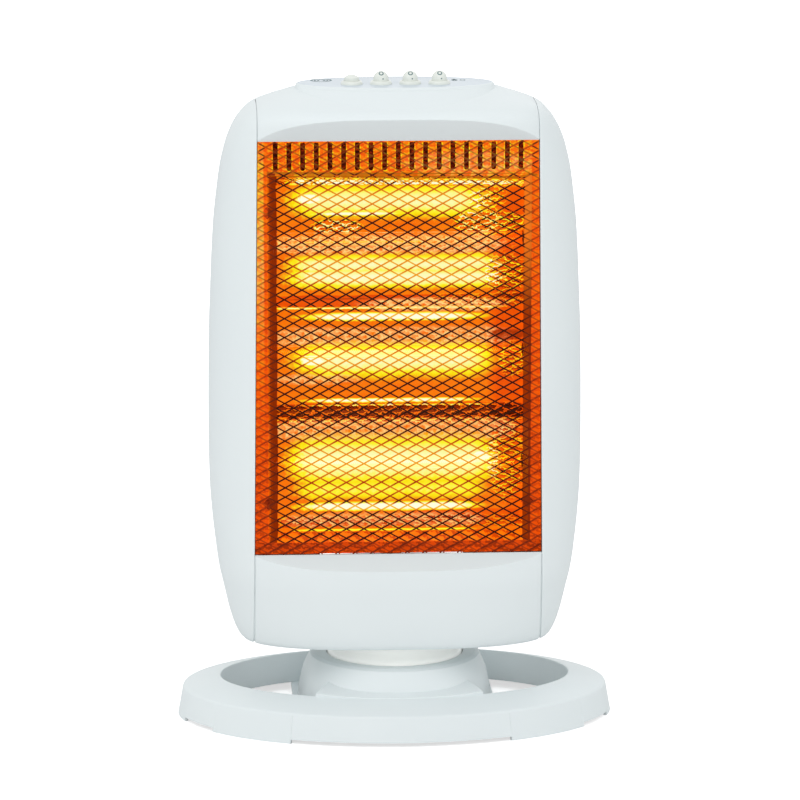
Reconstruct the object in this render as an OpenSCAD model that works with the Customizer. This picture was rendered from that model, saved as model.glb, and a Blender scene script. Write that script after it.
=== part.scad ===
// Oscillating halogen heater on an oval ring base.
// Millimetres. Z is up, the front faces -Y, X is across. The origin is on the floor,
// on the swing axis, which is also the middle of the base.

/* [Base] */
// Width of the oval base at the floor
base_w = 335; // [320:1:360]
// Depth of the oval base at the floor
base_d = 224; // [215:1:250]
// Width of the ring's band, seen from above
ring_band = 33; // [30:1:36]
// Height of the ring at its outer crease
ring_outer_h = 22.5; // [20:0.5:26]
// Height of the ring at its inner edge
ring_inner_h = 30; // [27:0.5:32]
// How far the outer wall leans in between the floor and the crease
ring_draft = 4; // [2:0.5:6]
// Height of the notches between the feet
foot_h = 3.2; // [2.5:0.1:4]
// Half of the angle that each foot covers
foot_half_angle = 14; // [10:1:18]
// Wall of the base moulding
base_wall = 2.4; // [2:0.1:3]

/* [Pedestal] */
// Height of the pedestal's round rim
ped_h = 48; // [46:1:54]
// Radius of the pedestal's round rim
ped_rim_r = 62; // [60:0.5:66]
// Width of the pedestal where it meets the ring's top
ped_waist_w = 142; // [134:1:150]
// Width of the pedestal at its foot
ped_foot_w = 156; // [152:1:164]
// Thickness of the floor that carries the swivel
deck_t = 3; // [2.5:0.5:4]

/* [Swing] */
// Angle the head swings to each side
swing = 30; // [25:1:31]
// Distance of the crank shaft from the swing axis
crank_offset = 28; // [27.5:0.5:28.5]
// Radius of the turntable
turntable_r = 52; // [51.5:0.5:54]
// Radial gap between turntable and recess
turntable_gap = 1; // [0.6:0.1:1.5]
// How far the turntable stands above the rim
turntable_rise = 16; // [12:1:22]
// Radius of the hollow swivel hub
hub_r = 9; // [8.5:0.25:9.25]
// Radius of the lead hole through the hub
hub_bore_r = 6; // [5:0.25:6.5]
// Running clearance of the hub in its bush
running_clearance = 0.05; // [0.02:0.01:0.1]
// Radius of the crank pin
crank_pin_r = 2.5; // [2:0.25:3]
// Play of the crank pin to each side of its slot
slot_play = 1.4; // [1.3:0.1:1.8]

/* [Head] */
// Width of the head over its side shells
head_w = 285; // [276:1:300]
// Height of the head from its underside to the roof
head_h = 426; // [418:1:450]
// Depth of the head in front of the swing axis
head_front = 74; // [72:1:80]
// Depth of the head behind the swing axis
head_rear = 50; // [48:1:58]
// Wall of the plastic shells
shell_t = 2.4; // [2:0.1:3]
// Half distance between the two long seams at the underside
seam_low = 109.6; // [108:0.1:111]
// Half distance between the two long seams at the roof
seam_high = 104.9; // [103:0.1:107]
// Gap of the seams between shells
seam_gap = 0.4; // [0.2:0.1:0.8]

/* [Window] */
// Height of the chin, from the underside to the window
chin_h = 73.5; // [68:0.5:80]
// Height of the brow, from the window to the roof
brow_h = 37.5; // [34:0.5:44]
// Distance of the grille's face in front of the swing axis
grille_y = 59; // [58:0.5:61]
// Slope of the bevel above the chin, as rise over run
chin_bevel = 0.72; // [0.5:0.02:1]
// Slope of the bevel under the brow, as rise over run
brow_bevel = 1.17; // [0.9:0.02:1.3]
// Width of a mesh opening
mesh_pitch_x = 29.7; // [24:0.1:36]
// Height of a mesh opening
mesh_pitch_z = 16.2; // [14:0.1:24]
// Width of a mesh strand
strand_w = 1; // [0.8:0.1:1.6]
// Thickness of the grille sheet
grille_t = 1.2; // [0.8:0.1:1.6]
// Width of the grille's rim
grille_rim = 2.5; // [2:0.1:4]

/* [Heat tray] */
// Thickness of the tray's sheet
sheet_t = 0.6; // [0.5:0.1:1]
// Space between the grille and the tray's flange
flange_setback = 5; // [4:0.5:6]
// Half width of the tray's mouth
tray_mouth = 98.4; // [96:0.2:99]
// Half width of the tray's back
tray_back = 93.7; // [90:0.1:95]
// Distance of the tray's back sheet in front of the swing axis
tray_back_y = 12; // [10:0.5:14]
// Height of the slotted strip above the tray's mouth
strip_h = 26; // [24:0.5:28]
// Height of the flange below the tray's mouth
lower_flange_h = 8.5; // [7:0.5:10]
// Number of slots in the strip
slot_count = 19; // [11:1:20]
// Distance between slots
slot_pitch = 10.2; // [9:0.1:10.4]
// Width of a slot
slot_w = 3.7; // [3:0.1:5]
// Height of a slot
slot_h = 21.6; // [14:0.2:21.6]
// How far the slots sit above the middle of their strip
slot_rise = 1.1; // [0:0.1:1.1]

/* [Heating elements] */
// Number of quartz tubes, each in its own trough
tube_count = 3; // [3:1:3]
// Depth of a trough
trough_d = 27; // [22:1:28]
// Gap between the tray's floor and the lowest trough
trough_lift = 13; // [12:0.5:14]
// Gap between the highest trough and the tray's roof
trough_drop = 9.5; // [8:0.5:12]
// Radius of a quartz tube
tube_r = 5; // [4:0.25:5.5]
// Wall of a quartz tube
tube_wall = 1; // [0.8:0.1:1.5]
// Half length of a quartz tube
tube_half = 99; // [98:0.5:101]
// Distance of the tubes in front of the troughs' back
tube_stand = 15; // [12:0.5:18]
// Radius of a ceramic end cap
cap_r = 7; // [6.5:0.25:8]
// Length of a ceramic end cap
cap_l = 15; // [12:0.5:18]
// Radius of a filament
filament_r = 1.2; // [0.8:0.1:1.6]

/* [Controls] */
// Width of the control panel
panel_w = 150; // [140:1:156]
// Depth of the control panel's flat top
panel_d = 72; // [66:1:76]
// Distance of the panel's middle in front of the swing axis
panel_y = 6; // [4:0.5:8]
// Height of the pod that carries the panel
pod_h = 16; // [14:0.5:18]
// How far the pod's skirt spreads to the front
pod_spread = 26; // [22:1:28]
// How far the pod's skirt spreads to the back
pod_rear_spread = 6; // [2:1:8]
// How far the pod's skirt spreads to each side
pod_side_spread = 1.5; // [1:0.1:3]
// Distance between buttons
button_pitch = 22; // [20:0.5:24]
// Distance of the button row in front of the swing axis
button_y = 17; // [14:0.5:20]
// Radius of a button
button_r = 5.7; // [5:0.1:6.2]
// Height of a heat button above the panel
button_h = 10; // [8:0.5:12]
// How much lower the oscillation button is
button_drop = 2.6; // [1.5:0.1:3.5]
// Travel of a button
button_travel = 3; // [2:0.5:3.5]
// Height of a button's collar
collar_h = 3.5; // [3:0.1:4]
// Width of a collar's wall
collar_w = 2.6; // [2:0.1:3]

/* [Rear] */
// Number of louvres in each column of the rear cover
louvre_count = 9; // [5:1:10]
// Distance between louvres
louvre_pitch = 9; // [8:0.5:10]
// Height of a louvre
louvre_h = 3.6; // [2.5:0.1:4.5]
// Length of a louvre
louvre_w = 48; // [36:1:52]
// Width of the grip recess
grip_w = 110; // [90:1:120]
// Height of the grip recess
grip_h = 26; // [22:1:30]
// Depth of the grip recess
grip_d = 24; // [20:1:28]

/* [Hidden] */
$fn = 64;

// Clearances
fit = 0.3;             // between curved faces that move past each other
snug = 0.1;            // between pieces that are pushed together
eps = 0.01;            // overshoot of a cut

// Base, worked out
foot_angles = [0, 46, 134, 180, 226, 314];
ring_step = 5;
ring_bottom_z = 6;     // lower edge of the ring's inner wall
ped_shoulder_z = ring_inner_h + 3.5;
ped_shoulder_r = ped_rim_r + 9;
recess_r = turntable_r + turntable_gap;
turntable_z = ped_h - 2;
bearing_t = 3;
bearing_w = 3.5;
ledge_z = turntable_z - bearing_t;
well_r = turntable_r - bearing_w - 1.3;
deck_z = ledge_z - 4;  // top of the deck, the crank's floor
deck_low = deck_z - deck_t;
hub_low = deck_low - 5.8;
bush_wall = 2;
boss_wall = 3;
bush_r = hub_r + running_clearance + bush_wall;
plate_t = base_wall;
plate_z = ring_bottom_z - plate_t;

// Crank, worked out
crank_r = crank_offset * sin(swing);
crank_z = deck_z + 1.2;
crank_t = 2.8;
crank_end_r = 4;
crank_shaft_r = 3;
pin_top_z = turntable_z + 3;
slot_depth = 4;
motor_r = 21;
motor_h = 16;
motor_shift = 8;       // the motor's body is off its output shaft

// Head, worked out
head_z0 = ped_h + turntable_rise;
roof_z = head_z0 + head_h;
window_z0 = head_z0 + chin_h;
window_h = head_h - chin_h - brow_h;
window_z1 = window_z0 + window_h;
rear_split_drop = 8;   // the rear cover ends this far below the window's top
rear_split_z = window_z1 - rear_split_drop;
rear_power = 2.4;      // squareness of the plan's rear half

// Outline of the head. Each row is a height as a share of the head's height, the half
// width as a share of the full half width, the depth in front and behind likewise, and
// the squareness of the plan's front half, which keeps the front seams upright.
head_outline = [
    [0.000, 0.829, 0.895, 0.92, 2.78], [0.006, 0.845, 0.925, 0.95, 2.79],
    [0.042, 0.889, 0.965, 0.98, 2.86], [0.087, 0.921, 0.985, 0.99, 3.00],
    [0.131, 0.950, 1.000, 1.00, 3.13], [0.176, 0.968, 1.000, 1.00, 3.08],
    [0.221, 0.983, 1.000, 1.00, 2.96], [0.286, 0.996, 1.000, 1.00, 2.86],
    [0.371, 1.000, 1.000, 1.00, 2.81], [0.531, 0.996, 1.000, 1.00, 2.80],
    [0.638, 0.985, 1.000, 1.00, 2.83], [0.749, 0.968, 1.000, 1.00, 2.92],
    [0.812, 0.948, 1.000, 1.00, 3.04], [0.856, 0.929, 1.000, 1.00, 3.17],
    [0.878, 0.914, 1.000, 1.00, 3.28], [0.899, 0.897, 1.000, 0.99, 3.42],
    [0.920, 0.872, 1.000, 0.97, 3.62], [0.941, 0.837, 1.000, 0.94, 3.90],
    [0.953, 0.806, 0.990, 0.90, 4.00], [0.9636, 0.772, 0.935, 0.84, 3.90],
    [0.9707, 0.732, 0.850, 0.77, 3.70], [0.9777, 0.676, 0.735, 0.68, 3.40],
    [0.985, 0.606, 0.600, 0.57, 3.10], [0.992, 0.532, 0.440, 0.43, 2.90],
    [0.9977, 0.360, 0.250, 0.25, 2.80], [1.000, 0.010, 0.010, 0.01, 2.78]
];

// Interior, worked out
flange_y = grille_y - flange_setback;
mouth_z0 = window_z0 + lower_flange_h;
mouth_z1 = window_z1 - strip_h;
trough_back_y = tray_back_y + sheet_t;
trough_z0 = mouth_z0 + trough_lift;
trough_h = (mouth_z1 - trough_drop - trough_z0) / tube_count;
trough_gap = 0.3;
tube_y = trough_back_y + sheet_t + tube_stand;
cap_x = tube_half - 2;
bracket_x = tray_mouth + 1.2;
bracket_t = 1;
bracket_rear_y = 30;
bracket_top = mouth_z1 + 10;
panel_z = roof_z;
panel_t = 2.2;
collar_r = button_r + fit;
flange_drop = panel_t + fit;
button_flange_t = 1.5;
stem_r = 2.4;
stem_low = panel_z - 19;
bank_top = panel_z - 16;
bank_h = 16;
screw_r = 1.5;
screw_head_r = 3;
pilot_r = screw_r;
button_x = [for (i = [0:3]) (i - 1.5) * button_pitch];
floor_t = 3;
terminal_z = head_z0 + floor_t;

// Colours as the photograph shows them
white_plastic = [0.90, 0.92, 0.93];
cream_plastic = [0.93, 0.93, 0.90];
glow_metal = [0.95, 0.55, 0.12];
dark_plastic = [0.22, 0.22, 0.23];
bright_steel = [0.74, 0.75, 0.76];

// ---------------------------------------------------------------- shape functions

// Half width, front depth or rear depth (column 1, 2 or 3) of the head at height z
function head_share(z, column) =
    lookup((z - head_z0) / head_h, [for (row = head_outline) [row[0], row[column]]]);
function half_w(z) = head_w / 2 * head_share(z, 1);
function front_d(z) = head_front * head_share(z, 2);
function rear_d(z) = head_rear * head_share(z, 3);
function front_power(z) = head_share(z, 4);
// Height of the roof above a point at distance x from the middle
roof_rows = [for (i = [len(head_outline) - 1:-1:12]) [head_outline[i][1], head_outline[i][0]]];
function roof_at(x) = head_z0 + head_h * lookup(abs(x) / (head_w / 2), roof_rows);
// Height at which a side shell ends, where the seam meets the silhouette
function seam_x(z) = seam_low + (seam_high - seam_low) * (z - head_z0) / head_h;
tip_z = roof_at(seam_high);

// Depth in front of and behind the swing axis, at a place on the head's surface
function plan_depth(x, half, depth, power) =
    depth * pow(max(0, 1 - pow(min(1, abs(x) / half), power)), 1 / power);
function front_y(x, z) = -plan_depth(x, half_w(z), front_d(z), front_power(z));
function rear_y(x, z) = plan_depth(x, half_w(z), rear_d(z), rear_power);

// A closed skin through rings of points. Every ring has the same even number of points,
// and goes out along one side of the wall and back along the other.
module loft(rings, closed = false) {
    n = len(rings);
    m = len(rings[0]);
    points = [for (ring = rings) for (p = ring) p];
    last = closed ? n - 1 : n - 2;
    sides = [for (i = [0:last]) for (j = [0:m - 1])
        let (a = i * m + j, b = i * m + (j + 1) % m,
             c = ((i + 1) % n) * m + j, d = ((i + 1) % n) * m + (j + 1) % m)
        each [[a, b, d], [a, d, c]]];
    far = (n - 1) * m;
    ends = closed ? [] : [for (j = [0:m / 2 - 2])
        let (k = m - 1 - j)
        each [[j, k, k - 1], [j, k - 1, j + 1],
              [far + j, far + k - 1, far + k], [far + j, far + j + 1, far + k - 1]]];
    polyhedron(points, concat(sides, ends));
}

// ---------------------------------------------------------------- base

function on_foot(angle) =
    len([for (f = foot_angles) if (abs((angle - f + 540) % 360 - 180) < foot_half_angle) 1]) > 0;
function ring_point(angle, inset, z) =
    [(base_w / 2 - inset) * cos(angle), (base_d / 2 - inset) * sin(angle), z];
// Section of the ring, as insets from the outer oval and heights
function ring_section(low) = [
    [0, low], [ring_draft, ring_outer_h], [ring_band, ring_inner_h], [ring_band, ring_bottom_z],
    [ring_band - base_wall, ring_bottom_z], [ring_band - base_wall, ring_inner_h - 1.3 * base_wall],
    [ring_draft + base_wall, ring_outer_h - base_wall], [base_wall, low]
];
// Every angle at which the ring has a section: even steps, and both sides of each foot's ends
foot_edge = 0.1;
even_angles = [for (a = [0:ring_step:360 - ring_step]) a];
ring_angles = [for (a = even_angles) each concat([a], edges_after(a))];
function edges_after(a) = sorted2([for (f = foot_angles) for (s = [-1, 1]) for (e = [-1, 1])
    let (edge = (f + s * foot_half_angle + e * foot_edge + 360) % 360)
    if (edge > a && edge < a + ring_step) edge]);
function sorted2(v) = len(v) < 2 || v[0] < v[1] ? v : [v[1], v[0]];

module ring_shell() {
    loft([for (a = ring_angles)
        [for (p = ring_section(on_foot(a) ? 0 : foot_h)) ring_point(a, p[0], p[1])]], true);
}

// Oval prism inside the ring, reaching a little into its inner wall
module ring_inside(height, grow) {
    linear_extrude(height)
        polygon([for (a = even_angles)
            [for (k = [0, 1]) ring_point(a, ring_band - grow, 0)[k]]]);
}

module centred_box(w, d, z0, z1) {
    translate([-w / 2, -d / 2, z0]) cube([w, d, z1 - z0]);
}

module pedestal_solid() {
    rotate_extrude()
        polygon([[0, ring_bottom_z], [ped_shoulder_r, ring_bottom_z],
                 [ped_shoulder_r, ped_shoulder_z], [ped_rim_r + 3.5, ped_h - 1.5],
                 [ped_rim_r + 2, ped_h - 0.4], [ped_rim_r, ped_h], [0, ped_h]]);
    intersection() {
        hull() {
            centred_box(0.76 * ped_waist_w, 0.4 * base_d, ped_shoulder_z - 1, ped_shoulder_z);
            centred_box(ped_waist_w, 0.76 * base_d, ring_inner_h - 1, ring_inner_h);
            centred_box(ped_foot_w, 0.76 * base_d, ring_bottom_z, ring_bottom_z + 1);
        }
        ring_inside(ped_h, base_wall - 0.8);
    }
}

cavity_r = ped_rim_r - 4;
module pedestal_cavity() {
    hull() {
        centred_box(ped_foot_w - 3 * base_wall, 0.54 * base_d, -1, ring_bottom_z + 1);
        translate([0, 0, deck_low - 1]) cylinder(r = cavity_r, h = 1, $fn = 32);
    }
}

plate_screw_x = ped_foot_w / 2 - 20;
plate_screw_y = 38;
module at_plate_screws() {
    for (sx = [-1, 1], sy = [-1, 1])
        translate([sx * plate_screw_x, sy * plate_screw_y, 0]) children();
}

gland_z = 12;
gland_r = 5;
module base_moulding() {
    color(white_plastic) difference() {
        union() {
            difference() {
                union() {
                    ring_shell();
                    pedestal_solid();
                }
                pedestal_cavity();
            }
            translate([0, 0, hub_low + 0.3]) cylinder(r = bush_r + boss_wall, h = deck_low - hub_low);
            at_plate_screws() translate([0, 0, ring_bottom_z])
                cylinder(r = 2 * pilot_r, h = deck_low - ring_bottom_z - 7);
        }
        translate([0, 0, ledge_z]) cylinder(r = recess_r, h = ped_h);
        translate([0, 0, deck_z]) cylinder(r = well_r, h = ped_h);
        translate([0, 0, hub_low]) cylinder(r = bush_r, h = ped_h);
        translate([0, crank_offset, deck_low - 1]) cylinder(r = crank_shaft_r + 1, h = ped_h);
        at_motor_screws() translate([0, 0, deck_low - 1]) cylinder(r = screw_r, h = deck_t);
        at_plate_screws() translate([0, 0, ring_bottom_z - 1]) cylinder(r = pilot_r, h = 11);
        for (y = [base_d / 2 - 8, base_d / 2 - ring_band - 10])
            translate([0, y, gland_z]) rotate([-90, 0, 0]) cylinder(r = gland_r, h = 20);
    }
}

tip_x = -46;
tip_y = -12;
plunger_r = 4;
plunger_travel = 5;
collar_low = plate_z + plate_t + plunger_travel + fit;
switch_low = collar_low + 1.5 + fit;
module base_underplate() {
    color(white_plastic) difference() {
        union() {
            intersection() {
                translate([0, 0, plate_z]) ring_inside(plate_t, base_wall);
                centred_box(ped_foot_w, 0.6 * base_d, plate_z, plate_z + plate_t);
            }
            for (s = [-1, 1])
                translate([tip_x, tip_y + 10 * s, plate_z]) cylinder(r = 2.5, h = switch_low - plate_z);
        }
        at_plate_screws() translate([0, 0, plate_z - 1]) cylinder(r = pilot_r, h = 2 * plate_t);
        translate([tip_x, tip_y, plate_z - 1]) cylinder(r = plunger_r + fit, h = 2 * plate_t);
    }
}

module pan_screw(length) {
    cylinder(r = screw_r, h = length);
    translate([0, 0, -1.4]) cylinder(r = screw_head_r, h = 1.4);
}

module underplate_screws() {
    color(bright_steel) at_plate_screws() translate([0, 0, plate_z]) pan_screw(11);
}

module bearing_ring() {
    color(cream_plastic) translate([0, 0, ledge_z]) difference() {
        cylinder(r = turntable_r - 0.2, h = bearing_t);
        translate([0, 0, -1]) cylinder(r = turntable_r - bearing_w, h = bearing_t + 2);
    }
}

module swivel_bush() {
    color(cream_plastic) translate([0, 0, hub_low + 0.3]) difference() {
        cylinder(r = bush_r, h = deck_z - hub_low - 0.3);
        translate([0, 0, -1]) cylinder(r = hub_r + running_clearance, h = ped_h);
    }
}

module at_motor_screws() {
    for (s = [-1, 1]) translate([s * (motor_r + 4), crank_offset + motor_shift, 0]) children();
}

module oscillation_motor() {
    color(bright_steel) difference() {
        union() {
            translate([0, crank_offset + motor_shift, deck_low - motor_h])
                cylinder(r = motor_r, h = motor_h);
            hull() at_motor_screws() translate([0, 0, deck_low - 1]) cylinder(r = 4, h = 1, $fn = 32);
        }
        translate([0, crank_offset, deck_low - 10])
            cylinder(r = crank_shaft_r + running_clearance, h = 20);
        at_motor_screws() translate([0, 0, deck_low - 2]) cylinder(r = screw_r, h = 3);
    }
}

module motor_screws() {
    color(bright_steel) at_motor_screws() translate([0, 0, deck_low - 1]) pan_screw(deck_t - 0.4);
}

module tip_switch() {
    color(dark_plastic) translate([tip_x - 8, tip_y - 13, switch_low]) cube([16, 26, 14]);
}

module tip_plunger() {
    color(dark_plastic) translate([tip_x, tip_y, 0]) {
        cylinder(r = plunger_r, h = collar_low + 1.5);
        translate([0, 0, collar_low]) cylinder(r = plunger_r + 2, h = 1.5);
    }
}

module cord_gland() {
    gland_y = base_d / 2 - base_wall - ring_draft;
    color(dark_plastic) translate([0, gland_y, gland_z]) rotate([-90, 0, 0]) difference() {
        union() {
            cylinder(r = gland_r, h = base_wall + ring_draft - 1.2);
            translate([0, 0, -1.6]) cylinder(r = gland_r + 1.6, h = 1.6);
        }
        translate([0, 0, -3]) cylinder(r = gland_r - 1.6, h = 20);
    }
}

// ---------------------------------------------------------------- swing drive

module crank_arm() {
    color(cream_plastic) {
        hull() {
            for (y = [crank_offset, crank_offset + crank_r])
                translate([0, y, crank_z]) cylinder(r = crank_end_r, h = crank_t, $fn = 32);
        }
        translate([0, crank_offset + crank_r, crank_z]) cylinder(r = crank_pin_r, h = pin_top_z - crank_z);
        translate([0, crank_offset, deck_low - 8])
            cylinder(r = crank_shaft_r, h = crank_z - deck_low + 9);
    }
}

turntable_disc = slot_depth + 1.5;
turntable_neck = turntable_r - 9;
module at_turntable_screws() {
    for (a = [45:90:315]) rotate(a) translate([turntable_r - 20, 0, 0]) children();
}

module turntable() {
    top = head_z0 - turntable_z;
    color(cream_plastic) difference() {
        union() {
            translate([0, 0, turntable_z]) rotate_extrude()
                polygon([[0, 0], [turntable_r, 0], [turntable_r, 3.5], [turntable_r - 2, 5.5],
                         [turntable_neck + 2.5, 0.6 * top], [turntable_neck, top],
                         [turntable_neck - 3, top], [turntable_neck - 3, turntable_disc],
                         [0, turntable_disc]]);
            translate([0, 0, hub_low]) cylinder(r = hub_r, h = turntable_z - hub_low + turntable_disc);
            at_turntable_screws() translate([0, 0, turntable_z]) cylinder(r = 5, h = top);
        }
        translate([0, 0, hub_low - 1]) cylinder(r = hub_bore_r, h = head_z0);
        crank_slot();
        at_turntable_screws() {
            translate([0, 0, turntable_z - 1]) cylinder(r = screw_head_r + 0.4, h = 4);
            translate([0, 0, turntable_z]) cylinder(r = screw_r, h = head_z0);
        }
        at_retainer_screws() translate([0, 0, hub_low - 1]) cylinder(r = 1, h = 9);
    }
}

// Radial slot under the turntable, in which the crank pin slides
module crank_slot() {
    half = crank_pin_r + slot_play;
    translate([-half, hub_r + half, turntable_z - eps])
        cube([2 * half, crank_offset + crank_r - hub_r - half + slot_play, slot_depth]);
    for (y = [hub_r + half, crank_offset + crank_r + slot_play])
        translate([0, y, turntable_z - eps]) cylinder(r = half, h = slot_depth);
}

module at_retainer_screws() {
    for (s = [-1, 1]) translate([s * (hub_r + hub_bore_r) / 2, 0, 0]) children();
}

retainer_t = 2;
module swivel_retainer() {
    color(bright_steel) translate([0, 0, hub_low - retainer_t]) difference() {
        cylinder(r = bush_r + boss_wall - 0.5, h = retainer_t);
        translate([0, 0, -1]) cylinder(r = hub_bore_r, h = retainer_t + 2);
        at_retainer_screws() translate([0, 0, -1]) cylinder(r = 1, h = retainer_t + 2);
    }
}

module retainer_screws() {
    color(bright_steel) at_retainer_screws() translate([0, 0, hub_low - retainer_t - 1]) {
        cylinder(r = 1, h = retainer_t + 7);
        cylinder(r = 1.4, h = 1);
    }
}

module turntable_screws() {
    color(bright_steel) at_turntable_screws() translate([0, 0, turntable_z + 3])
        pan_screw(head_z0 + floor_t - turntable_z - 3);
}

// ---------------------------------------------------------------- head shells

side_steps = 14;       // steps around a side shell
column_steps = 26;     // steps across the centre column
roof_steps = 24;       // steps over the roof

// One ring of a side shell at height z: inside from front seam to rear seam, then outside back
function side_ring(z) =
    let (outer = side_curve(z, half_w(z), 0),
         slim = max(half_w(z) - shell_t, seam_x(z) + 0.35 * (half_w(z) - seam_x(z))),
         inner = side_curve(z, slim, shell_t))
    concat(inner, [for (i = [side_steps:-1:0]) outer[i]]);
function side_curve(z, half, inset) =
    let (seam = seam_x(z) + seam_gap / 2,
         t_front = -acos(min(0.9999, pow(seam / half, front_power(z) / 2))),
         t_rear = acos(min(0.9999, pow(seam / half, rear_power / 2))))
    [for (i = [0:side_steps])
        let (t = t_front + (t_rear - t_front) * i / side_steps,
             power = t < 0 ? front_power(z) : rear_power,
             depth = (t < 0 ? front_d(z) : rear_d(z)) - inset)
        [half * pow(cos(t), 2 / power), sign(t) * depth * pow(abs(sin(t)), 2 / power), z]];
side_levels = concat(
    [for (row = head_outline) if (head_z0 + head_h * row[0] < tip_z - 3) head_z0 + head_h * row[0]],
    [tip_z - 2.2, tip_z - 0.6]);

module side_shell(side) {
    color(white_plastic) mirror([side < 0 ? 1 : 0, 0, 0])
        loft([for (z = side_levels) side_ring(z)]);
}
module left_side_shell() { side_shell(-1); }
module right_side_shell() { side_shell(1); }

// Height of the crease where a bevel meets the convex front
function bevel_z(x, edge_z, slope, up) =
    let (y = front_y(x, edge_z)) edge_z + up * slope * max(0, -y - grille_y);

// Section of the chin at x: outside from underside to crease, bevel, and back down inside
chin_steps = 6;
function chin_section(x_share) =
    let (x = x_share * (seam_x(window_z0) - seam_gap / 2),
         crease = bevel_z(x, window_z0, chin_bevel, -1),
         front = [for (i = [0:chin_steps])
             let (z = head_z0 + (crease - head_z0) * pow(i / chin_steps, 1.5))
             [x, front_y(x, z), z]],
         rear = [for (p = front) [p[0], p[1] + shell_t, min(p[2], crease - 0.8 * shell_t)]])
    concat(front, [[x, -grille_y, window_z0 - seam_gap / 2], [x, -grille_y + shell_t, window_z0 - shell_t]],
           [for (i = [len(rear) - 1:-1:0]) rear[i]]);

module chin_cover() {
    color(white_plastic)
        loft([for (i = [0:column_steps]) chin_section(2 * i / column_steps - 1)]);
}

// Section of the top cover at x: bevel, front, roof and rear outside, then back inside
function top_section(x_share) =
    let (x = x_share * (seam_x(window_z1) - seam_gap / 2),
         crease = bevel_z(x, window_z1, brow_bevel, 1),
         roof = roof_at(x),
         outside = [for (i = [0:roof_steps])
             let (a = 180 * i / roof_steps, low = a < 90 ? crease : rear_split_z,
                  z = low + (roof - low) * sin(a))
             [x, i == roof_steps / 2 ? 0 : a < 90 ? front_y(x, z) : rear_y(x, z), z]],
         inside = [for (i = [0:roof_steps])
             let (a = 180 * i / roof_steps, p = outside[i])
             [x, p[1] + shell_t * cos(a), p[2] - (a < 90 ? shell_t * max(0, sin(a) - 0.6 * cos(a))
                                                        : shell_t * sin(a))]])
    concat([[x, -grille_y + shell_t, window_z1 + shell_t], [x, -grille_y, window_z1 + seam_gap / 2]],
           outside, [for (i = [roof_steps:-1:0]) inside[i]]);

module top_cover() {
    color(white_plastic) difference() {
        loft([for (i = [0:column_steps]) top_section(2 * i / column_steps - 1)]);
        pod_hull(seam_gap, 1);
    }
}

// The pod's body: an oval top that spreads, mostly to the front, as it goes down. A cut of the
// same shape reaches further up and straight down by extra
module pod_hull(grow, extra = 0) {
    foot_z = panel_z - pod_h;
    hull() {
        translate([0, -panel_y, panel_z - 1]) scale([panel_w / 2 + grow, panel_d / 2 + grow, 1])
            cylinder(r = 1, h = 1 + extra);
        translate([0, 0, foot_z]) pod_foot(grow, pod_foot_t);
    }
    if (extra > 0) translate([0, 0, foot_z - extra]) pod_foot(grow, extra + pod_foot_t);
}

pod_foot_t = 0.4;
module pod_foot(grow, height) {
    foot_d = panel_d + pod_spread + pod_rear_spread;
    translate([0, (pod_rear_spread - pod_spread) / 2 - panel_y, 0])
        scale([panel_w / 2 + pod_side_spread + grow, foot_d / 2 + grow, 1]) cylinder(r = 1, h = height);
}

module rear_cover() {
    color(white_plastic) difference() {
        union() {
            difference() {
                loft([for (z = rear_levels) rear_ring(z)]);
                translate([-grip_w / 2, head_rear - grip_d, grip_z - grip_h / 2])
                    cube([grip_w, 2 * grip_d, grip_h]);
            }
            grip_pocket();
            at_rear_screws() rotate([-90, 0, 0]) cylinder(r = 4, h = rear_boss_l);
        }
        louvres(louvre_count, louvre_top);
        louvres(4, window_z0 - 12);
        at_rear_screws() rotate([-90, 0, 0]) {
            translate([0, 0, -1]) cylinder(r = screw_r, h = 20);
            translate([0, 0, rear_boss_l]) cylinder(r = screw_head_r + 0.3, h = 20);
        }
    }
}

rear_levels = concat(
    [for (row = head_outline) if (head_z0 + head_h * row[0] < rear_split_z - 4) head_z0 + head_h * row[0]],
    [rear_split_z - seam_gap]);
rear_steps = 20;
function rear_curve(z) =
    [for (i = [0:rear_steps]) let (x = (2 * i / rear_steps - 1) * (seam_x(z) - seam_gap / 2))
        [x, rear_y(x, z), z]];
function rear_ring(z) =
    let (outer = rear_curve(z), inner = [for (p = outer) [p[0], p[1] - shell_t, z]])
    concat(outer, [for (i = [rear_steps:-1:0]) inner[i]]);

grip_z = window_z1 - 34;
module grip_pocket() {
    difference() {
        translate([-grip_w / 2 - shell_t, head_rear - grip_d - shell_t, grip_z - grip_h / 2 - shell_t])
            cube([grip_w + 2 * shell_t, grip_d - 1.6, grip_h + 2 * shell_t]);
        translate([-grip_w / 2, head_rear - grip_d, grip_z - grip_h / 2])
            cube([grip_w, 2 * grip_d, grip_h]);
    }
}

louvre_top = grip_z - grip_h / 2 - 14;
module louvres(count, top) {
    for (i = [0:count - 1], s = [-1, 1])
        translate([s * (louvre_w / 2 + 8) - louvre_w / 2, head_rear - 20, top - i * louvre_pitch - louvre_h])
            cube([louvre_w, 40, louvre_h]);
}

rear_screw_x = bracket_x - 8;
rear_screw_z = [head_z0 + 50, rear_split_z - 30];
rear_boss_l = 9;
module at_rear_screws() {
    for (s = [-1, 1], z = rear_screw_z) translate([s * rear_screw_x, bracket_rear_y, z]) children();
}

module rear_screws() {
    color(bright_steel) at_rear_screws() rotate([-90, 0, 0]) translate([0, 0, -6]) {
        cylinder(r = screw_r, h = 6 + rear_boss_l);
        translate([0, 0, 6 + rear_boss_l]) cylinder(r = screw_head_r, h = 1.4);
    }
}

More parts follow.
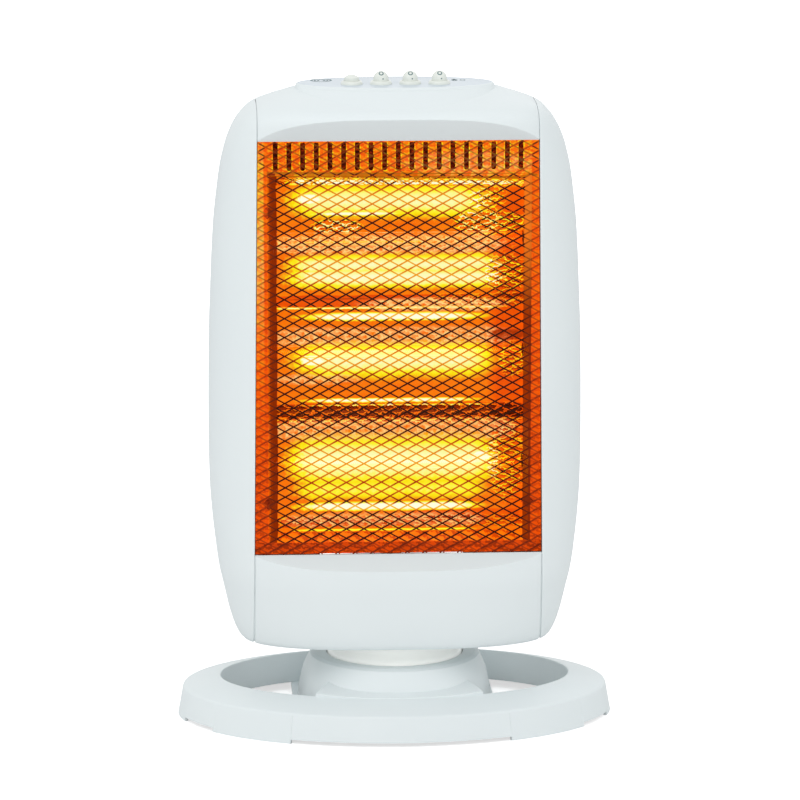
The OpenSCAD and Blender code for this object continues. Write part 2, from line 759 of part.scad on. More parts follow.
module head_floor() {
    z = head_z0 + floor_t / 2;
    inset = shell_t + seam_gap;
    outline = concat(
        [for (i = [0:24]) let (a = 180 + 180 * i / 24, c = cos(a), s = sin(a))
            [sign(c) * (half_w(head_z0) - inset) * pow(abs(c), 2 / front_power(head_z0)),
             -(front_d(head_z0) - inset) * pow(abs(s), 2 / front_power(head_z0))]],
        [for (i = [1:23]) let (a = 180 * i / 24, c = cos(a), s = sin(a))
            [sign(c) * (half_w(head_z0) - inset) * pow(abs(c), 2 / rear_power),
             (rear_d(head_z0) - inset) * pow(abs(s), 2 / rear_power)]]);
    color(white_plastic) difference() {
        translate([0, 0, head_z0]) linear_extrude(floor_t) polygon(outline);
        translate([0, 0, head_z0 - 1]) cylinder(r = hub_bore_r + 4, h = floor_t + 2);
        at_turntable_screws() translate([0, 0, head_z0 - 1]) cylinder(r = screw_r, h = floor_t + 2);
    }
}

// ---------------------------------------------------------------- grille and heat tray

// Window outline, narrower at the top as the seams lean in
function window_outline(inset) = [
    [-seam_x(window_z0) + inset, window_z0 + inset], [seam_x(window_z0) - inset, window_z0 + inset],
    [seam_x(window_z1) - inset, window_z1 - inset], [-seam_x(window_z1) + inset, window_z1 - inset]
];

// Stands a drawing in X and Z up, with its back at distance y in front of the swing axis
module upright(y, thickness) {
    translate([0, -y, 0]) rotate([90, 0, 0]) linear_extrude(thickness) children();
}

module grille() {
    lean = atan(mesh_pitch_z / mesh_pitch_x);
    rows = ceil(window_h / mesh_pitch_z + 2 * seam_low / mesh_pitch_x) + 2;
    mid_z = (window_z0 + window_z1) / 2;
    color(glow_metal) upright(grille_y - grille_t, grille_t) {
        difference() {
            polygon(window_outline(seam_gap));
            polygon(window_outline(seam_gap + grille_rim));
        }
        intersection() {
            polygon(window_outline(seam_gap + eps));
            for (i = [-rows / 2:rows / 2], s = [-1, 1])
                translate([0, mid_z + i * mesh_pitch_z]) rotate(s * lean)
                    square([2 * window_h, strand_w], center = true);
        }
    }
}

slot_z = mouth_z1 + strip_h / 2 + slot_rise;
tube_hole_gap = 0.8;   // between a tube and its hole in the tray's side
module heat_tray() {
    color(glow_metal) difference() {
        tray_sheets();
        for (i = [1:tube_count]) translate([-head_w, -tube_y, trough_mid(i)]) rotate([0, 90, 0])
            cylinder(r = tube_r + tube_hole_gap, h = 2 * head_w);
    }
}

module tray_sheets() {
    lip = flange_setback - grille_t;
    back = tray_back_y;
    difference() {
        upright(flange_y - sheet_t, sheet_t) polygon(window_outline(seam_gap));
        upright(flange_y - 1, 3) polygon([[-tray_mouth, mouth_z0], [tray_mouth, mouth_z0],
                                          [tray_mouth, mouth_z1], [-tray_mouth, mouth_z1]]);
        for (i = [0:slot_count - 1])
            translate([(i - (slot_count - 1) / 2) * slot_pitch, 0, slot_z]) tray_slot();
    }
    difference() {
        upright(flange_y - eps, lip) polygon(window_outline(seam_gap));
        upright(flange_y - 1, lip + 2) polygon(window_outline(seam_gap + sheet_t));
    }
    translate([0, 0, mouth_z0]) linear_extrude(mouth_z1 - mouth_z0) for (s = [-1, 1])
        polygon([[s * tray_mouth, -flange_y + sheet_t + eps], [s * (tray_mouth + sheet_t), -flange_y + eps],
                 [s * (tray_back + sheet_t), -back], [s * tray_back, -back - sheet_t]]);
    for (z = [mouth_z0 - sheet_t, mouth_z1])
        translate([0, 0, z]) linear_extrude(sheet_t)
            polygon([[-tray_mouth - sheet_t, -flange_y + eps], [tray_mouth + sheet_t, -flange_y + eps],
                     [tray_back + sheet_t, -back], [-tray_back - sheet_t, -back]]);
    translate([-tray_back - sheet_t, -back - sheet_t, mouth_z0 - sheet_t])
        cube([2 * (tray_back + sheet_t), sheet_t, mouth_z1 - mouth_z0 + 2 * sheet_t]);
}

// One upright slot with round ends, cut through the tray's flange
module tray_slot() {
    reach = slot_h / 2 - slot_w / 2;
    translate([-slot_w / 2, -flange_y - 2, -reach]) cube([slot_w, 4, 2 * reach]);
    for (s = [-1, 1]) translate([0, -flange_y - 2, s * reach]) rotate([-90, 0, 0])
        cylinder(d = slot_w, h = 4, $fn = 24);
}

clip_w = 7;
clip_t = 0.8;
clip_low = 30;         // height of the lower clips above the mouth's lower edge
clip_drop = 28;        // distance of the upper clips below its upper edge
module tray_clips() {
    color(glow_metal) for (s = [-1, 1], z = [mouth_z0 + clip_low, mouth_z1 - clip_drop])
        translate([s * (tray_mouth - 0.5), -flange_y, z]) rotate([90, 45, 0])
            translate([-clip_w / 2, -clip_w / 2, 0]) cube([clip_w, clip_w, clip_t]);
}

trough_steps = 16;
function trough_curve(shift) = [for (i = [0:trough_steps])
    let (s = 2 * i / trough_steps - 1) [-trough_back_y - shift - trough_d * s * s,
                                        (trough_h - trough_gap) / 2 * s]];
function trough_mid(i) = trough_z0 + (i - 0.5) * trough_h;

module reflector(i) {
    front = trough_curve(sheet_t);
    behind = trough_curve(0);
    color(glow_metal) translate([-tray_back + 1, 0, trough_mid(i)]) rotate([90, 0, 90])
        linear_extrude(2 * tray_back - 2)
        polygon(concat(front, [for (k = [trough_steps:-1:0]) behind[k]]));
}
module reflector_1() { reflector(1); }
module reflector_2() { reflector(2); }
module reflector_3() { reflector(3); }

module along_x(i, from, length) {
    translate([from, -tube_y, trough_mid(i)]) rotate([0, 90, 0]) children();
}

module quartz_tube(i) {
    color([0.98, 0.80, 0.50]) along_x(i, -tube_half) difference() {
        cylinder(r = tube_r, h = 2 * tube_half);
        translate([0, 0, -1]) cylinder(r = tube_r - tube_wall, h = 2 * tube_half + 2);
    }
}
module quartz_tube_1() { quartz_tube(1); }
module quartz_tube_2() { quartz_tube(2); }
module quartz_tube_3() { quartz_tube(3); }

module filament(i) {
    color([1.0, 0.85, 0.35]) along_x(i, -tube_half) cylinder(r = filament_r, h = 2 * tube_half);
}
module filament_1() { filament(1); }
module filament_2() { filament(2); }
module filament_3() { filament(3); }

// Two ceramic caps, each with a blind socket for the tube's end
module end_caps(i) {
    color(cream_plastic) for (s = [-1, 1]) translate([s * cap_x, -tube_y, trough_mid(i)])
        rotate([0, s * 90, 0]) difference() {
            union() {
                cylinder(r = cap_r, h = cap_l);
                translate([0, 0, bracket_x - cap_x + bracket_t]) cylinder(r = cap_r + 1.5, h = 3);
            }
            translate([0, 0, -1]) cylinder(r = tube_r + eps, h = tube_half - cap_x + 1);
        }
}
module end_caps_1() { end_caps(1); }
module end_caps_2() { end_caps(2); }
module end_caps_3() { end_caps(3); }

// Upright bracket beside the tray: it stands on the head floor, and carries the tube ends,
// the tray's flange and the rear cover's screws
bracket_tab = 14;
bracket_low_z = head_z0 + floor_t;
bracket_front_y = tray_back_y - 2;
bracket_waist_y = 21;  // the bracket is narrower low down, where the rear cover curves in
bracket_waist_z = bracket_low_z + 20;
module lamp_bracket(side) {
    color(bright_steel) mirror([side < 0 ? 1 : 0, 0, 0]) difference() {
        union() {
            bracket_plate(-flange_y + sheet_t, bracket_rear_y, mouth_z0, bracket_top);
            bracket_plate(-bracket_front_y, bracket_rear_y, bracket_waist_z, mouth_z0 + eps);
            bracket_plate(-bracket_front_y, bracket_waist_y, bracket_low_z, bracket_waist_z + eps);
            translate([bracket_x - bracket_tab, bracket_rear_y - bracket_t, bracket_waist_z])
                cube([bracket_tab + bracket_t, bracket_t, bracket_top - bracket_waist_z]);
            translate([bracket_x - bracket_tab, -bracket_front_y, bracket_low_z])
                cube([bracket_tab + bracket_t, bracket_waist_y + bracket_front_y, bracket_t]);
        }
        for (i = [1:tube_count]) translate([0, -tube_y, trough_mid(i)]) rotate([0, 90, 0])
            cylinder(r = cap_r + snug, h = 2 * head_w);
        for (z = rear_screw_z) translate([rear_screw_x, 0, z]) rotate([-90, 0, 0])
            cylinder(r = screw_r, h = 2 * head_rear);
    }
}
module bracket_plate(y0, y1, z0, z1) {
    translate([bracket_x, y0, z0]) cube([bracket_t, y1 - y0, z1 - z0]);
}
module lamp_bracket_left() { lamp_bracket(-1); }
module lamp_bracket_right() { lamp_bracket(1); }

module thermal_cutout() {
    color(dark_plastic) translate([40, -tray_back_y, mouth_z1 - 40]) rotate([-90, 0, 0]) {
        cylinder(r = 8, h = 6);
        for (s = [-1, 1]) translate([5 * s - 1, -3, 6]) cube([0.8, 6, 6]);
    }
}

module terminal_block() {
    color(cream_plastic) difference() {
        translate([-24, 22, terminal_z]) cube([48, 12, 14]);
        for (i = [0:5]) translate([-20 + 8 * i, 28, terminal_z + 4]) cylinder(r = 2, h = 12);
    }
}

// ---------------------------------------------------------------- controls

module control_panel() {
    color(white_plastic) difference() {
        union() {
            difference() {
                pod_hull(0);
                translate([0, 0, -panel_t]) pod_hull(-panel_t, 0.1);
            }
            for (x = [-1, 1]) translate([x * (1.5 * button_pitch + 12), -button_y, bank_top])
                cylinder(r = 3, h = panel_z - bank_top - 1);
        }
        for (x = button_x) translate([x, -button_y, panel_z - 2 * panel_t])
            cylinder(r = collar_r, h = 3 * panel_t);
    }
}

module button_collars() {
    color(cream_plastic) for (x = button_x) translate([x, -button_y, panel_z]) rotate_extrude()
        polygon([[collar_r, 0], [collar_r + collar_w, 0], [collar_r + collar_w, 0.8],
                 [collar_r + 0.6 * collar_w, 0.85 * collar_h], [collar_r + 0.3 * collar_w, collar_h],
                 [collar_r, collar_h - 0.4]]);
}

module switch_bank() {
    half = 1.5 * button_pitch;
    color(dark_plastic) difference() {
        union() {
            for (x = button_x) translate([x - 8, -button_y - 8, bank_top - bank_h])
                cube([16, 16, bank_h]);
            translate([-half - 16, -button_y - 6, bank_top - 2]) cube([2 * half + 32, 12, 2]);
        }
        for (x = button_x) translate([x, -button_y, stem_low - button_travel - 1])
            cylinder(r = stem_r + fit, h = bank_h);
    }
}

module push_button(i, height) {
    dome_r = height > button_h - 1 ? button_r : 1.35 * button_r;
    dome_rise = dome_r - sqrt(dome_r * dome_r - button_r * button_r);
    shoulder = panel_z + height - dome_rise;
    color(cream_plastic) translate([button_x[i], -button_y, 0]) {
        translate([0, 0, panel_z - flange_drop]) cylinder(r = button_r, h = shoulder - panel_z + flange_drop);
        translate([0, 0, shoulder]) intersection() {
            translate([0, 0, dome_rise - dome_r]) sphere(r = dome_r);
            cylinder(r = button_r, h = dome_r);
        }
        translate([0, 0, panel_z - flange_drop - button_flange_t])
            cylinder(r = button_r + 1.3, h = button_flange_t);
        translate([0, 0, stem_low]) cylinder(r = stem_r, h = panel_z - flange_drop - stem_low);
    }
}
module oscillation_button() { push_button(0, button_h - button_drop); }
module heat_button_1() { push_button(1, button_h); }
module heat_button_2() { push_button(2, button_h); }
module heat_button_3() { push_button(3, button_h); }

// ---------------------------------------------------------------- every node by its name

base_moulding();
base_underplate();
underplate_screws();
bearing_ring();
swivel_bush();
oscillation_motor();
motor_screws();
tip_switch();
tip_plunger();
cord_gland();
crank_arm();
turntable();
swivel_retainer();
retainer_screws();
turntable_screws();
head_floor();
left_side_shell();
right_side_shell();
top_cover();
chin_cover();
rear_cover();
rear_screws();
grille();
heat_tray();
tray_clips();
reflector_1();
reflector_2();
reflector_3();
quartz_tube_1();
quartz_tube_2();
quartz_tube_3();
filament_1();
filament_2();
filament_3();
end_caps_1();
end_caps_2();
end_caps_3();
lamp_bracket_left();
lamp_bracket_right();
thermal_cutout();
terminal_block();
control_panel();
button_collars();
switch_bank();
oscillation_button();
heat_button_1();
heat_button_2();
heat_button_3();
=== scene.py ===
"""Looks of the swinging halogen heater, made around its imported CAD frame."""

import math

import bmesh
import bpy
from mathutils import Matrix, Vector

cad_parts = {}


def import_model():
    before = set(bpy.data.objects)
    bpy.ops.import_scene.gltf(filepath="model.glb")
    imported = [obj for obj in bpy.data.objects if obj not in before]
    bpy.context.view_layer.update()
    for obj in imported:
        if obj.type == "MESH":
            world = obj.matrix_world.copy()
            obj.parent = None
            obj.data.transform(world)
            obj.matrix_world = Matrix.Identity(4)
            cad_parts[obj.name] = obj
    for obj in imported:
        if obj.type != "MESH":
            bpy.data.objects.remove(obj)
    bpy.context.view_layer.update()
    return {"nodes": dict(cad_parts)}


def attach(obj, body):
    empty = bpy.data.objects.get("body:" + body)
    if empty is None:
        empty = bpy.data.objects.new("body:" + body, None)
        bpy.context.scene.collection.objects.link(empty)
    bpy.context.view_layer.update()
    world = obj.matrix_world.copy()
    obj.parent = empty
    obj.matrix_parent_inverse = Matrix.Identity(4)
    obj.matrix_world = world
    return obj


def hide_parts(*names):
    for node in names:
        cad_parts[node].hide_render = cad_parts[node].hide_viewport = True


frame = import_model()

MM = 0.001
PER_M = 1000.0          # mm in a metre

# ------------------------------------------------------------------ sizes, as in the CAD source (mm)

HEAD_Z0 = 64.0
HEAD_H = 426.0
ROOF_Z = HEAD_Z0 + HEAD_H
HEAD_HALF = 142.5
HEAD_FRONT = 74.0
HEAD_REAR = 50.0
REAR_POWER = 2.4
SHELL_T = 2.4
SEAM_LOW = 109.6
SEAM_HIGH = 104.9
SEAM_GAP = 0.4
EDGE_R = 0.7            # rounding of the shells' cut edges
WINDOW_Z0 = 137.5
WINDOW_Z1 = 452.5
GRILLE_Y = 59.0
CHIN_BEVEL = 0.72
BROW_BEVEL = 1.17
REAR_SPLIT_Z = 444.5

# Height share, half width share, front depth share, rear depth share, squareness of the front
HEAD_OUTLINE = [
    (0.000, 0.829, 0.895, 0.92, 2.78), (0.006, 0.845, 0.925, 0.95, 2.79),
    (0.042, 0.889, 0.965, 0.98, 2.86), (0.087, 0.921, 0.985, 0.99, 3.00),
    (0.131, 0.950, 1.000, 1.00, 3.13), (0.176, 0.968, 1.000, 1.00, 3.08),
    (0.221, 0.983, 1.000, 1.00, 2.96), (0.286, 0.996, 1.000, 1.00, 2.86),
    (0.371, 1.000, 1.000, 1.00, 2.81), (0.531, 0.996, 1.000, 1.00, 2.80),
    (0.638, 0.985, 1.000, 1.00, 2.83), (0.749, 0.968, 1.000, 1.00, 2.92),
    (0.812, 0.948, 1.000, 1.00, 3.04), (0.856, 0.929, 1.000, 1.00, 3.17),
    (0.878, 0.914, 1.000, 1.00, 3.28), (0.899, 0.897, 1.000, 0.99, 3.42),
    (0.920, 0.872, 1.000, 0.97, 3.62), (0.941, 0.837, 1.000, 0.94, 3.90),
    (0.953, 0.806, 0.990, 0.90, 4.00), (0.9636, 0.772, 0.935, 0.84, 3.90),
    (0.9707, 0.732, 0.850, 0.77, 3.70), (0.9777, 0.676, 0.735, 0.68, 3.40),
    (0.985, 0.606, 0.600, 0.57, 3.10), (0.992, 0.532, 0.440, 0.43, 2.90),
    (0.9977, 0.360, 0.250, 0.25, 2.80), (1.000, 0.010, 0.010, 0.01, 2.78),
]

BASE_HALF_W = 167.5
BASE_HALF_D = 112.0
FOOT_ANGLES = (0, 46, 134, 180, 226, 314)
FOOT_HALF_ANGLE = 14.0
FOOT_H = 3.2

BUTTON_X = (-33.0, -11.0, 11.0, 33.0)
BUTTON_Y = -17.0
TUBE_Z = (202.0, 288.0, 374.0)
TUBE_Y = -28.2
CELL_W = 13.2           # one mesh cell
CELL_H = 7.2
HEAD_MIDDLE = (0, 0, 250)


# ------------------------------------------------------------------ curves

def smooth_curve(points):
    """A smooth curve through points (x rising) that never overshoots them."""
    xs = [p[0] for p in points]
    ys = [p[1] for p in points]
    steps = [xs[i + 1] - xs[i] for i in range(len(xs) - 1)]
    rises = [(ys[i + 1] - ys[i]) / steps[i] for i in range(len(steps))]
    slopes = [rises[0]]
    for i in range(1, len(steps)):
        if rises[i - 1] * rises[i] <= 0:
            slopes.append(0.0)
        else:
            a = 2 * steps[i] + steps[i - 1]
            b = steps[i] + 2 * steps[i - 1]
            slopes.append((a + b) / (a / rises[i - 1] + b / rises[i]))
    slopes.append(rises[-1])

    def at(x):
        x = min(max(x, xs[0]), xs[-1])
        i = 0
        while i < len(steps) - 1 and x > xs[i + 1]:
            i += 1
        h = steps[i]
        t = (x - xs[i]) / h
        return ((1 + 2 * t) * (1 - t) ** 2 * ys[i] + t * (1 - t) ** 2 * h * slopes[i]
                + t * t * (3 - 2 * t) * ys[i + 1] + t * t * (t - 1) * h * slopes[i + 1])
    return at


width_share, front_share, rear_share, front_squareness = [
    smooth_curve([(row[0], row[column]) for row in HEAD_OUTLINE]) for column in (1, 2, 3, 4)]


def height_share(z):
    return (z - HEAD_Z0) / HEAD_H


def half_w(z):
    return HEAD_HALF * width_share(height_share(z))


def seam_x(z):
    return SEAM_LOW + (SEAM_HIGH - SEAM_LOW) * height_share(z)


def plan_depth(x, half, depth, power):
    """Depth of a rounded plan at distance x from its middle. A greater power is squarer."""
    return depth * max(0.0, 1 - min(1.0, abs(x) / half) ** power) ** (1 / power)


def front_y(x, z):
    s = height_share(z)
    return -plan_depth(x, half_w(z), HEAD_FRONT * front_share(s), front_squareness(s))


def rear_y(x, z):
    return plan_depth(x, half_w(z), HEAD_REAR * rear_share(height_share(z)), REAR_POWER)


def roof_at(x):
    """Height of the roof at distance x from the middle."""
    low, high = HEAD_Z0 + 0.75 * HEAD_H, ROOF_Z
    for _ in range(40):
        mid = (low + high) / 2
        if half_w(mid) > abs(x):
            low = mid
        else:
            high = mid
    return low


def bevel_z(x, edge_z, slope):
    """Height of the crease where a bevel from the window's edge meets the convex front."""
    return edge_z + slope * max(0.0, -front_y(x, edge_z) - GRILLE_Y)


def spread(low, high, count):
    """Numbers from low to high, closer together at both ends."""
    return [low + (high - low) * (1 - math.cos(math.pi * i / count)) / 2 for i in range(count + 1)]


def even(low, high, count):
    """count + 1 numbers from low to high in equal steps."""
    return [low + (high - low) * i / count for i in range(count + 1)]


def fillet(points, index, radius, count=5):
    """The 2-D line with the corner at index rounded."""
    p = Vector(points[index])
    a = Vector(points[index - 1]) - p
    b = Vector(points[index + 1]) - p
    reach = min(radius, 0.45 * a.length, 0.45 * b.length)
    start = p + a.normalized() * reach
    end = p + b.normalized() * reach
    arc = []
    for i in range(count + 1):
        t = i / count
        q = start * (1 - t) ** 2 + p * 2 * t * (1 - t) + end * t * t
        arc.append(tuple(q))
    return points[:index] + arc + points[index + 1:]


def fillets(points, corners):
    """Rounds several corners, given as {index: radius}."""
    for index in sorted(corners, reverse=True):
        points = fillet(points, index, corners[index])
    return points


# ------------------------------------------------------------------ pieces

def on_oval(degrees, across_r, deep_r):
    """A point of an oval round the origin, in 2-D."""
    a = math.radians(degrees)
    return across_r * math.cos(a), deep_r * math.sin(a)


def new_object(name, data):
    made = bpy.data.objects.new(name, data)
    bpy.context.scene.collection.objects.link(made)
    return made


def new_mesh(name, verts, faces):
    """A mesh from points in mm."""
    mesh = bpy.data.meshes.new(name)
    mesh.from_pydata([[c * MM for c in v] for v in verts], [], faces)
    return mesh


def smooth(mesh, sharp):
    """Smooth shading, broken at edges that turn by more than an angle in degrees."""
    mesh.polygons.foreach_set("use_smooth", [True] * len(mesh.polygons))
    mesh.set_sharp_from_angle(angle=math.radians(sharp))


def add_piece(name, shape, finish, body, stands_for=(), sharp=32.0, centre=(0, 0, 0), mark=None):
    """A piece from (points, faces), riding on a CAD body. mark gives each face's finish."""
    verts, faces = shape
    mesh = new_mesh(name, [[c - o for c, o in zip(v, centre)] for v in verts], faces)
    mesh.validate()
    piece = new_object(name, mesh)
    piece.location = [c * MM for c in centre]
    for one in (finish if isinstance(finish, (list, tuple)) else [finish]):
        mesh.materials.append(one)
    if mark is not None:
        mesh.polygons.foreach_set("material_index", mark)
    tidy_normals(mesh)
    smooth(mesh, sharp)
    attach(piece, body)
    if stands_for:
        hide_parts(*stands_for)
    return piece


def tidy_normals(mesh):
    """Joins points that coincide and turns the faces one way."""
    work = bmesh.new()
    work.from_mesh(mesh)
    bmesh.ops.remove_doubles(work, verts=work.verts, dist=0.00001)
    bmesh.ops.recalc_face_normals(work, faces=work.faces)
    work.to_mesh(mesh)
    work.free()


def grid_faces(rows, columns, wrap_rows=False, wrap_columns=False):
    """Four-sided faces of a net, which may close on itself in either direction."""
    faces = []
    for i in range(rows if wrap_rows else rows - 1):
        for j in range(columns if wrap_columns else columns - 1):
            k = (i + 1) % rows
            m = (j + 1) % columns
            faces.append((i * columns + j, i * columns + m, k * columns + m, k * columns + j))
    return faces


def grid(rows, wrap_rows=False, wrap_columns=False):
    """Points and faces of a net through rows of equal length."""
    return ([p for row in rows for p in row],
            grid_faces(len(rows), len(rows[0]), wrap_rows, wrap_columns))


def ring_solid(rings, wrap=False):
    """Points and faces of a solid through rings of equal length. Ends are closed by strips."""
    count = len(rings[0])
    verts, faces = grid(rings, wrap, True)
    if not wrap:
        for start in (0, (len(rings) - 1) * count):
            for j in range(count // 2 - 1):
                k = count - 1 - j
                faces.append((start + j, start + k, start + k - 1, start + j + 1))
    return verts, faces


def turned(profile, centre=(0, 0), segments=96, closed=False):
    """Points and faces of a profile of (radius, height) turned round an upright axis."""
    verts, faces = [], []
    columns = []
    for radius, z in profile:
        if radius < 1e-6:
            columns.append([len(verts)])
            verts.append((centre[0], centre[1], z))
        else:
            columns.append(list(range(len(verts), len(verts) + segments)))
            for i in range(segments):
                a = 2 * math.pi * i / segments
                verts.append((centre[0] + radius * math.cos(a), centre[1] + radius * math.sin(a), z))
    pairs = list(zip(columns, columns[1:]))
    if closed:
        pairs.append((columns[-1], columns[0]))
    for low, high in pairs:
        for i in range(segments):
            j = (i + 1) % segments
            quad = [low[i % len(low)], low[j % len(low)], high[j % len(high)], high[i % len(high)]]
            face = [v for n, v in enumerate(quad) if v not in quad[:n]]
            if len(face) > 2:
                faces.append(face)
    return verts, faces


def joined(shapes):
    """The points and faces of several shapes as one."""
    verts, faces = [], []
    for more_verts, more_faces in shapes:
        start = len(verts)
        verts += more_verts
        faces += [[i + start for i in f] for f in more_faces]
    return verts, faces


def add_wall(piece, thickness):
    """Gives a skin its wall, on its inner side."""
    wall = piece.modifiers.new("wall", "SOLIDIFY")
    wall.thickness = thickness * MM
    wall.offset = -1


def round_edges(piece, name, radius, segments, angle):
    """Rounds the edges of a piece that turn by more than an angle in degrees."""
    edge = piece.modifiers.new(name, "BEVEL")
    edge.width = radius * MM
    edge.segments = segments
    edge.limit_method = "ANGLE"
    edge.angle_limit = math.radians(angle)
    return edge


def face_outward(piece, middle):
    """Turns an open skin's faces away from a point in mm."""
    mesh = piece.data
    centre = Vector(middle) * MM
    if sum(f.normal.dot(f.center - centre) * f.area for f in mesh.polygons) < 0:
        mesh.flip_normals()


def edge_pull(distance):
    """How far a rounded edge lies inside the surface at a distance from the cut."""
    if distance >= EDGE_R:
        return 0.0
    return EDGE_R * (1 - math.sqrt(1 - (1 - distance / EDGE_R) ** 2))


def across(count):
    """Places across the centre column: (share of the half width, mm in from the seam)."""
    near = [(1, 0.0), (1, 0.3 * EDGE_R), (1, EDGE_R)]
    inner = [(s, 1.5) for s in even(0.97, -0.97, count)]
    return near + inner + [(-s, d) for s, d in reversed(near)]


# ------------------------------------------------------------------ node helpers

BUMP_DEPTH = 0.0002     # metres
BLACK = (0.0, 0.0, 0.0)


class Graph:
    """Short calls that add nodes to one tree."""

    def __init__(self, tree):
        self.tree = tree

    def node(self, kind, **settings):
        made = self.tree.nodes.new(kind)
        for key, value in settings.items():
            setattr(made, key, value)
        return made

    def put(self, socket, value):
        """Links an input to a socket, or gives it a value of its own."""
        if isinstance(value, bpy.types.NodeSocket):
            self.tree.links.new(value, socket)
        elif isinstance(value, tuple) and len(value) == 3 and len(socket.default_value) == 4:
            socket.default_value = (*value, 1)
        else:
            socket.default_value = value

    def fill(self, node, values):
        """Sets or links inputs of a node by their names."""
        for name, value in values.items():
            self.put(node.inputs[name], value)

    def parts(self, vector):
        """X, Y and Z of a vector."""
        split = self.node("ShaderNodeSeparateXYZ")
        self.put(split.inputs[0], vector)
        return split.outputs

    def stretched(self, vector, factors):
        """The vector with each of its parts multiplied."""
        made = self.node("ShaderNodeVectorMath", operation="MULTIPLY")
        self.put(made.inputs[0], vector)
        made.inputs[1].default_value = factors
        return made.outputs[0]

    def math(self, operation, *values, clamp=False):
        made = self.node("ShaderNodeMath", operation=operation, use_clamp=clamp)
        for socket, value in zip(made.inputs, values):
            self.put(socket, value)
        return made.outputs[0]

    def plus(self, a, b):
        return self.math("ADD", a, b)

    def minus(self, a, b, clamp=False):
        return self.math("SUBTRACT", a, b, clamp=clamp)

    def times(self, a, b, clamp=False):
        return self.math("MULTIPLY", a, b, clamp=clamp)

    def scaled(self, value, factor, offset):
        """value x factor + offset"""
        return self.math("MULTIPLY_ADD", value, factor, offset)

    def most(self, *values):
        result = values[0]
        for value in values[1:]:
            result = self.math("MAXIMUM", result, value)
        return result

    def choose(self, share, a, b):
        """a where share is 0, b where it is 1."""
        return self.scaled(self.minus(b, a), share, a)

    def step(self, value, low, high):
        """Rises smoothly from 0 at low to 1 at high. Where high is the lesser, it falls."""
        falling = low > high
        made = self.node("ShaderNodeMapRange", interpolation_type="SMOOTHSTEP")
        self.fill(made, {"Value": value, "From Min": min(low, high), "From Max": max(low, high),
                         "To Min": float(falling), "To Max": float(not falling)})
        return made.outputs["Result"]

    def band(self, value, low, high, soft):
        """1 between low and high, falling to 0 within soft on both sides of each."""
        return self.times(self.step(value, low - soft, low + soft),
                          self.step(value, high + soft, high - soft))

    def mix(self, share, a, b):
        """A colour between a at share 0 and b at share 1."""
        made = self.node("ShaderNodeMix", data_type="RGBA")
        self.put(made.inputs[0], share)
        self.put(made.inputs[6], a)
        self.put(made.inputs[7], b)
        return made.outputs[2]

    def noise(self, place, scale, detail=2.0, rough=0.5):
        made = self.node("ShaderNodeTexNoise")
        self.fill(made, {"Vector": place, "Scale": scale, "Detail": detail, "Roughness": rough})
        return made.outputs["Fac"]

    def ramp(self, value, stops):
        """A colour from (place, colour) stops."""
        made = self.node("ShaderNodeValToRGB")
        self.put(made.inputs["Fac"], value)
        cells = made.color_ramp.elements
        while len(cells) > 1:
            cells.remove(cells[-1])
        cells[0].position, cells[0].color = stops[0][0], (*stops[0][1], 1)
        for place, colour in stops[1:]:
            cells.new(place).color = (*colour, 1)
        return made.outputs["Color"]


def linear(red, green, blue):
    """A screen colour of 0 to 255 as the linear colour that shaders take."""
    def one(value):
        value /= 255
        return value / 12.92 if value <= 0.04045 else ((value + 0.055) / 1.055) ** 2.4
    return (one(red), one(green), one(blue))


def new_group(name, inputs, outputs):
    """A shader node group, and its input and output nodes. inputs: (name, kind, value)."""
    tree = bpy.data.node_groups.new(name, "ShaderNodeTree")
    kinds = {"number": "NodeSocketFloat", "colour": "NodeSocketColor", "vector": "NodeSocketVector"}
    for label, kind, value in inputs:
        socket = tree.interface.new_socket(name=label, in_out="INPUT", socket_type=kinds[kind])
        if value is not None:
            socket.default_value = (*value, 1) if kind == "colour" else value
    for label, kind in outputs:
        tree.interface.new_socket(name=label, in_out="OUTPUT", socket_type=kinds[kind])
    graph = Graph(tree)
    return graph, graph.node("NodeGroupInput"), graph.node("NodeGroupOutput")


def use_group(graph, group, values):
    made = graph.node("ShaderNodeGroup")
    made.node_tree = group
    graph.fill(made, values)
    return made


def new_material(name):
    material = bpy.data.materials.new(name)
    material.use_nodes = True
    graph = Graph(material.node_tree)
    shader = material.node_tree.nodes["Principled BSDF"]
    place = graph.node("ShaderNodeTexCoord").outputs["Object"]
    return material, graph, shader, place


def surface(name, group, values, bump, others):
    """A material with colour, roughness and relief from a surface group, and other inputs as given."""
    material, g, shader, place = new_material(name)
    skin = use_group(g, group, {"Place": place, **values})
    g.fill(shader, {"Base Color": skin.outputs["Colour"], "Roughness": skin.outputs["Roughness"],
                    **others})
    relief = g.node("ShaderNodeBump")
    g.fill(relief, {"Strength": bump, "Distance": BUMP_DEPTH, "Height": skin.outputs["Height"]})
    g.put(shader.inputs["Normal"], relief.outputs["Normal"])
    return material, g, shader, place, skin


# ------------------------------------------------------------------ shared surface groups

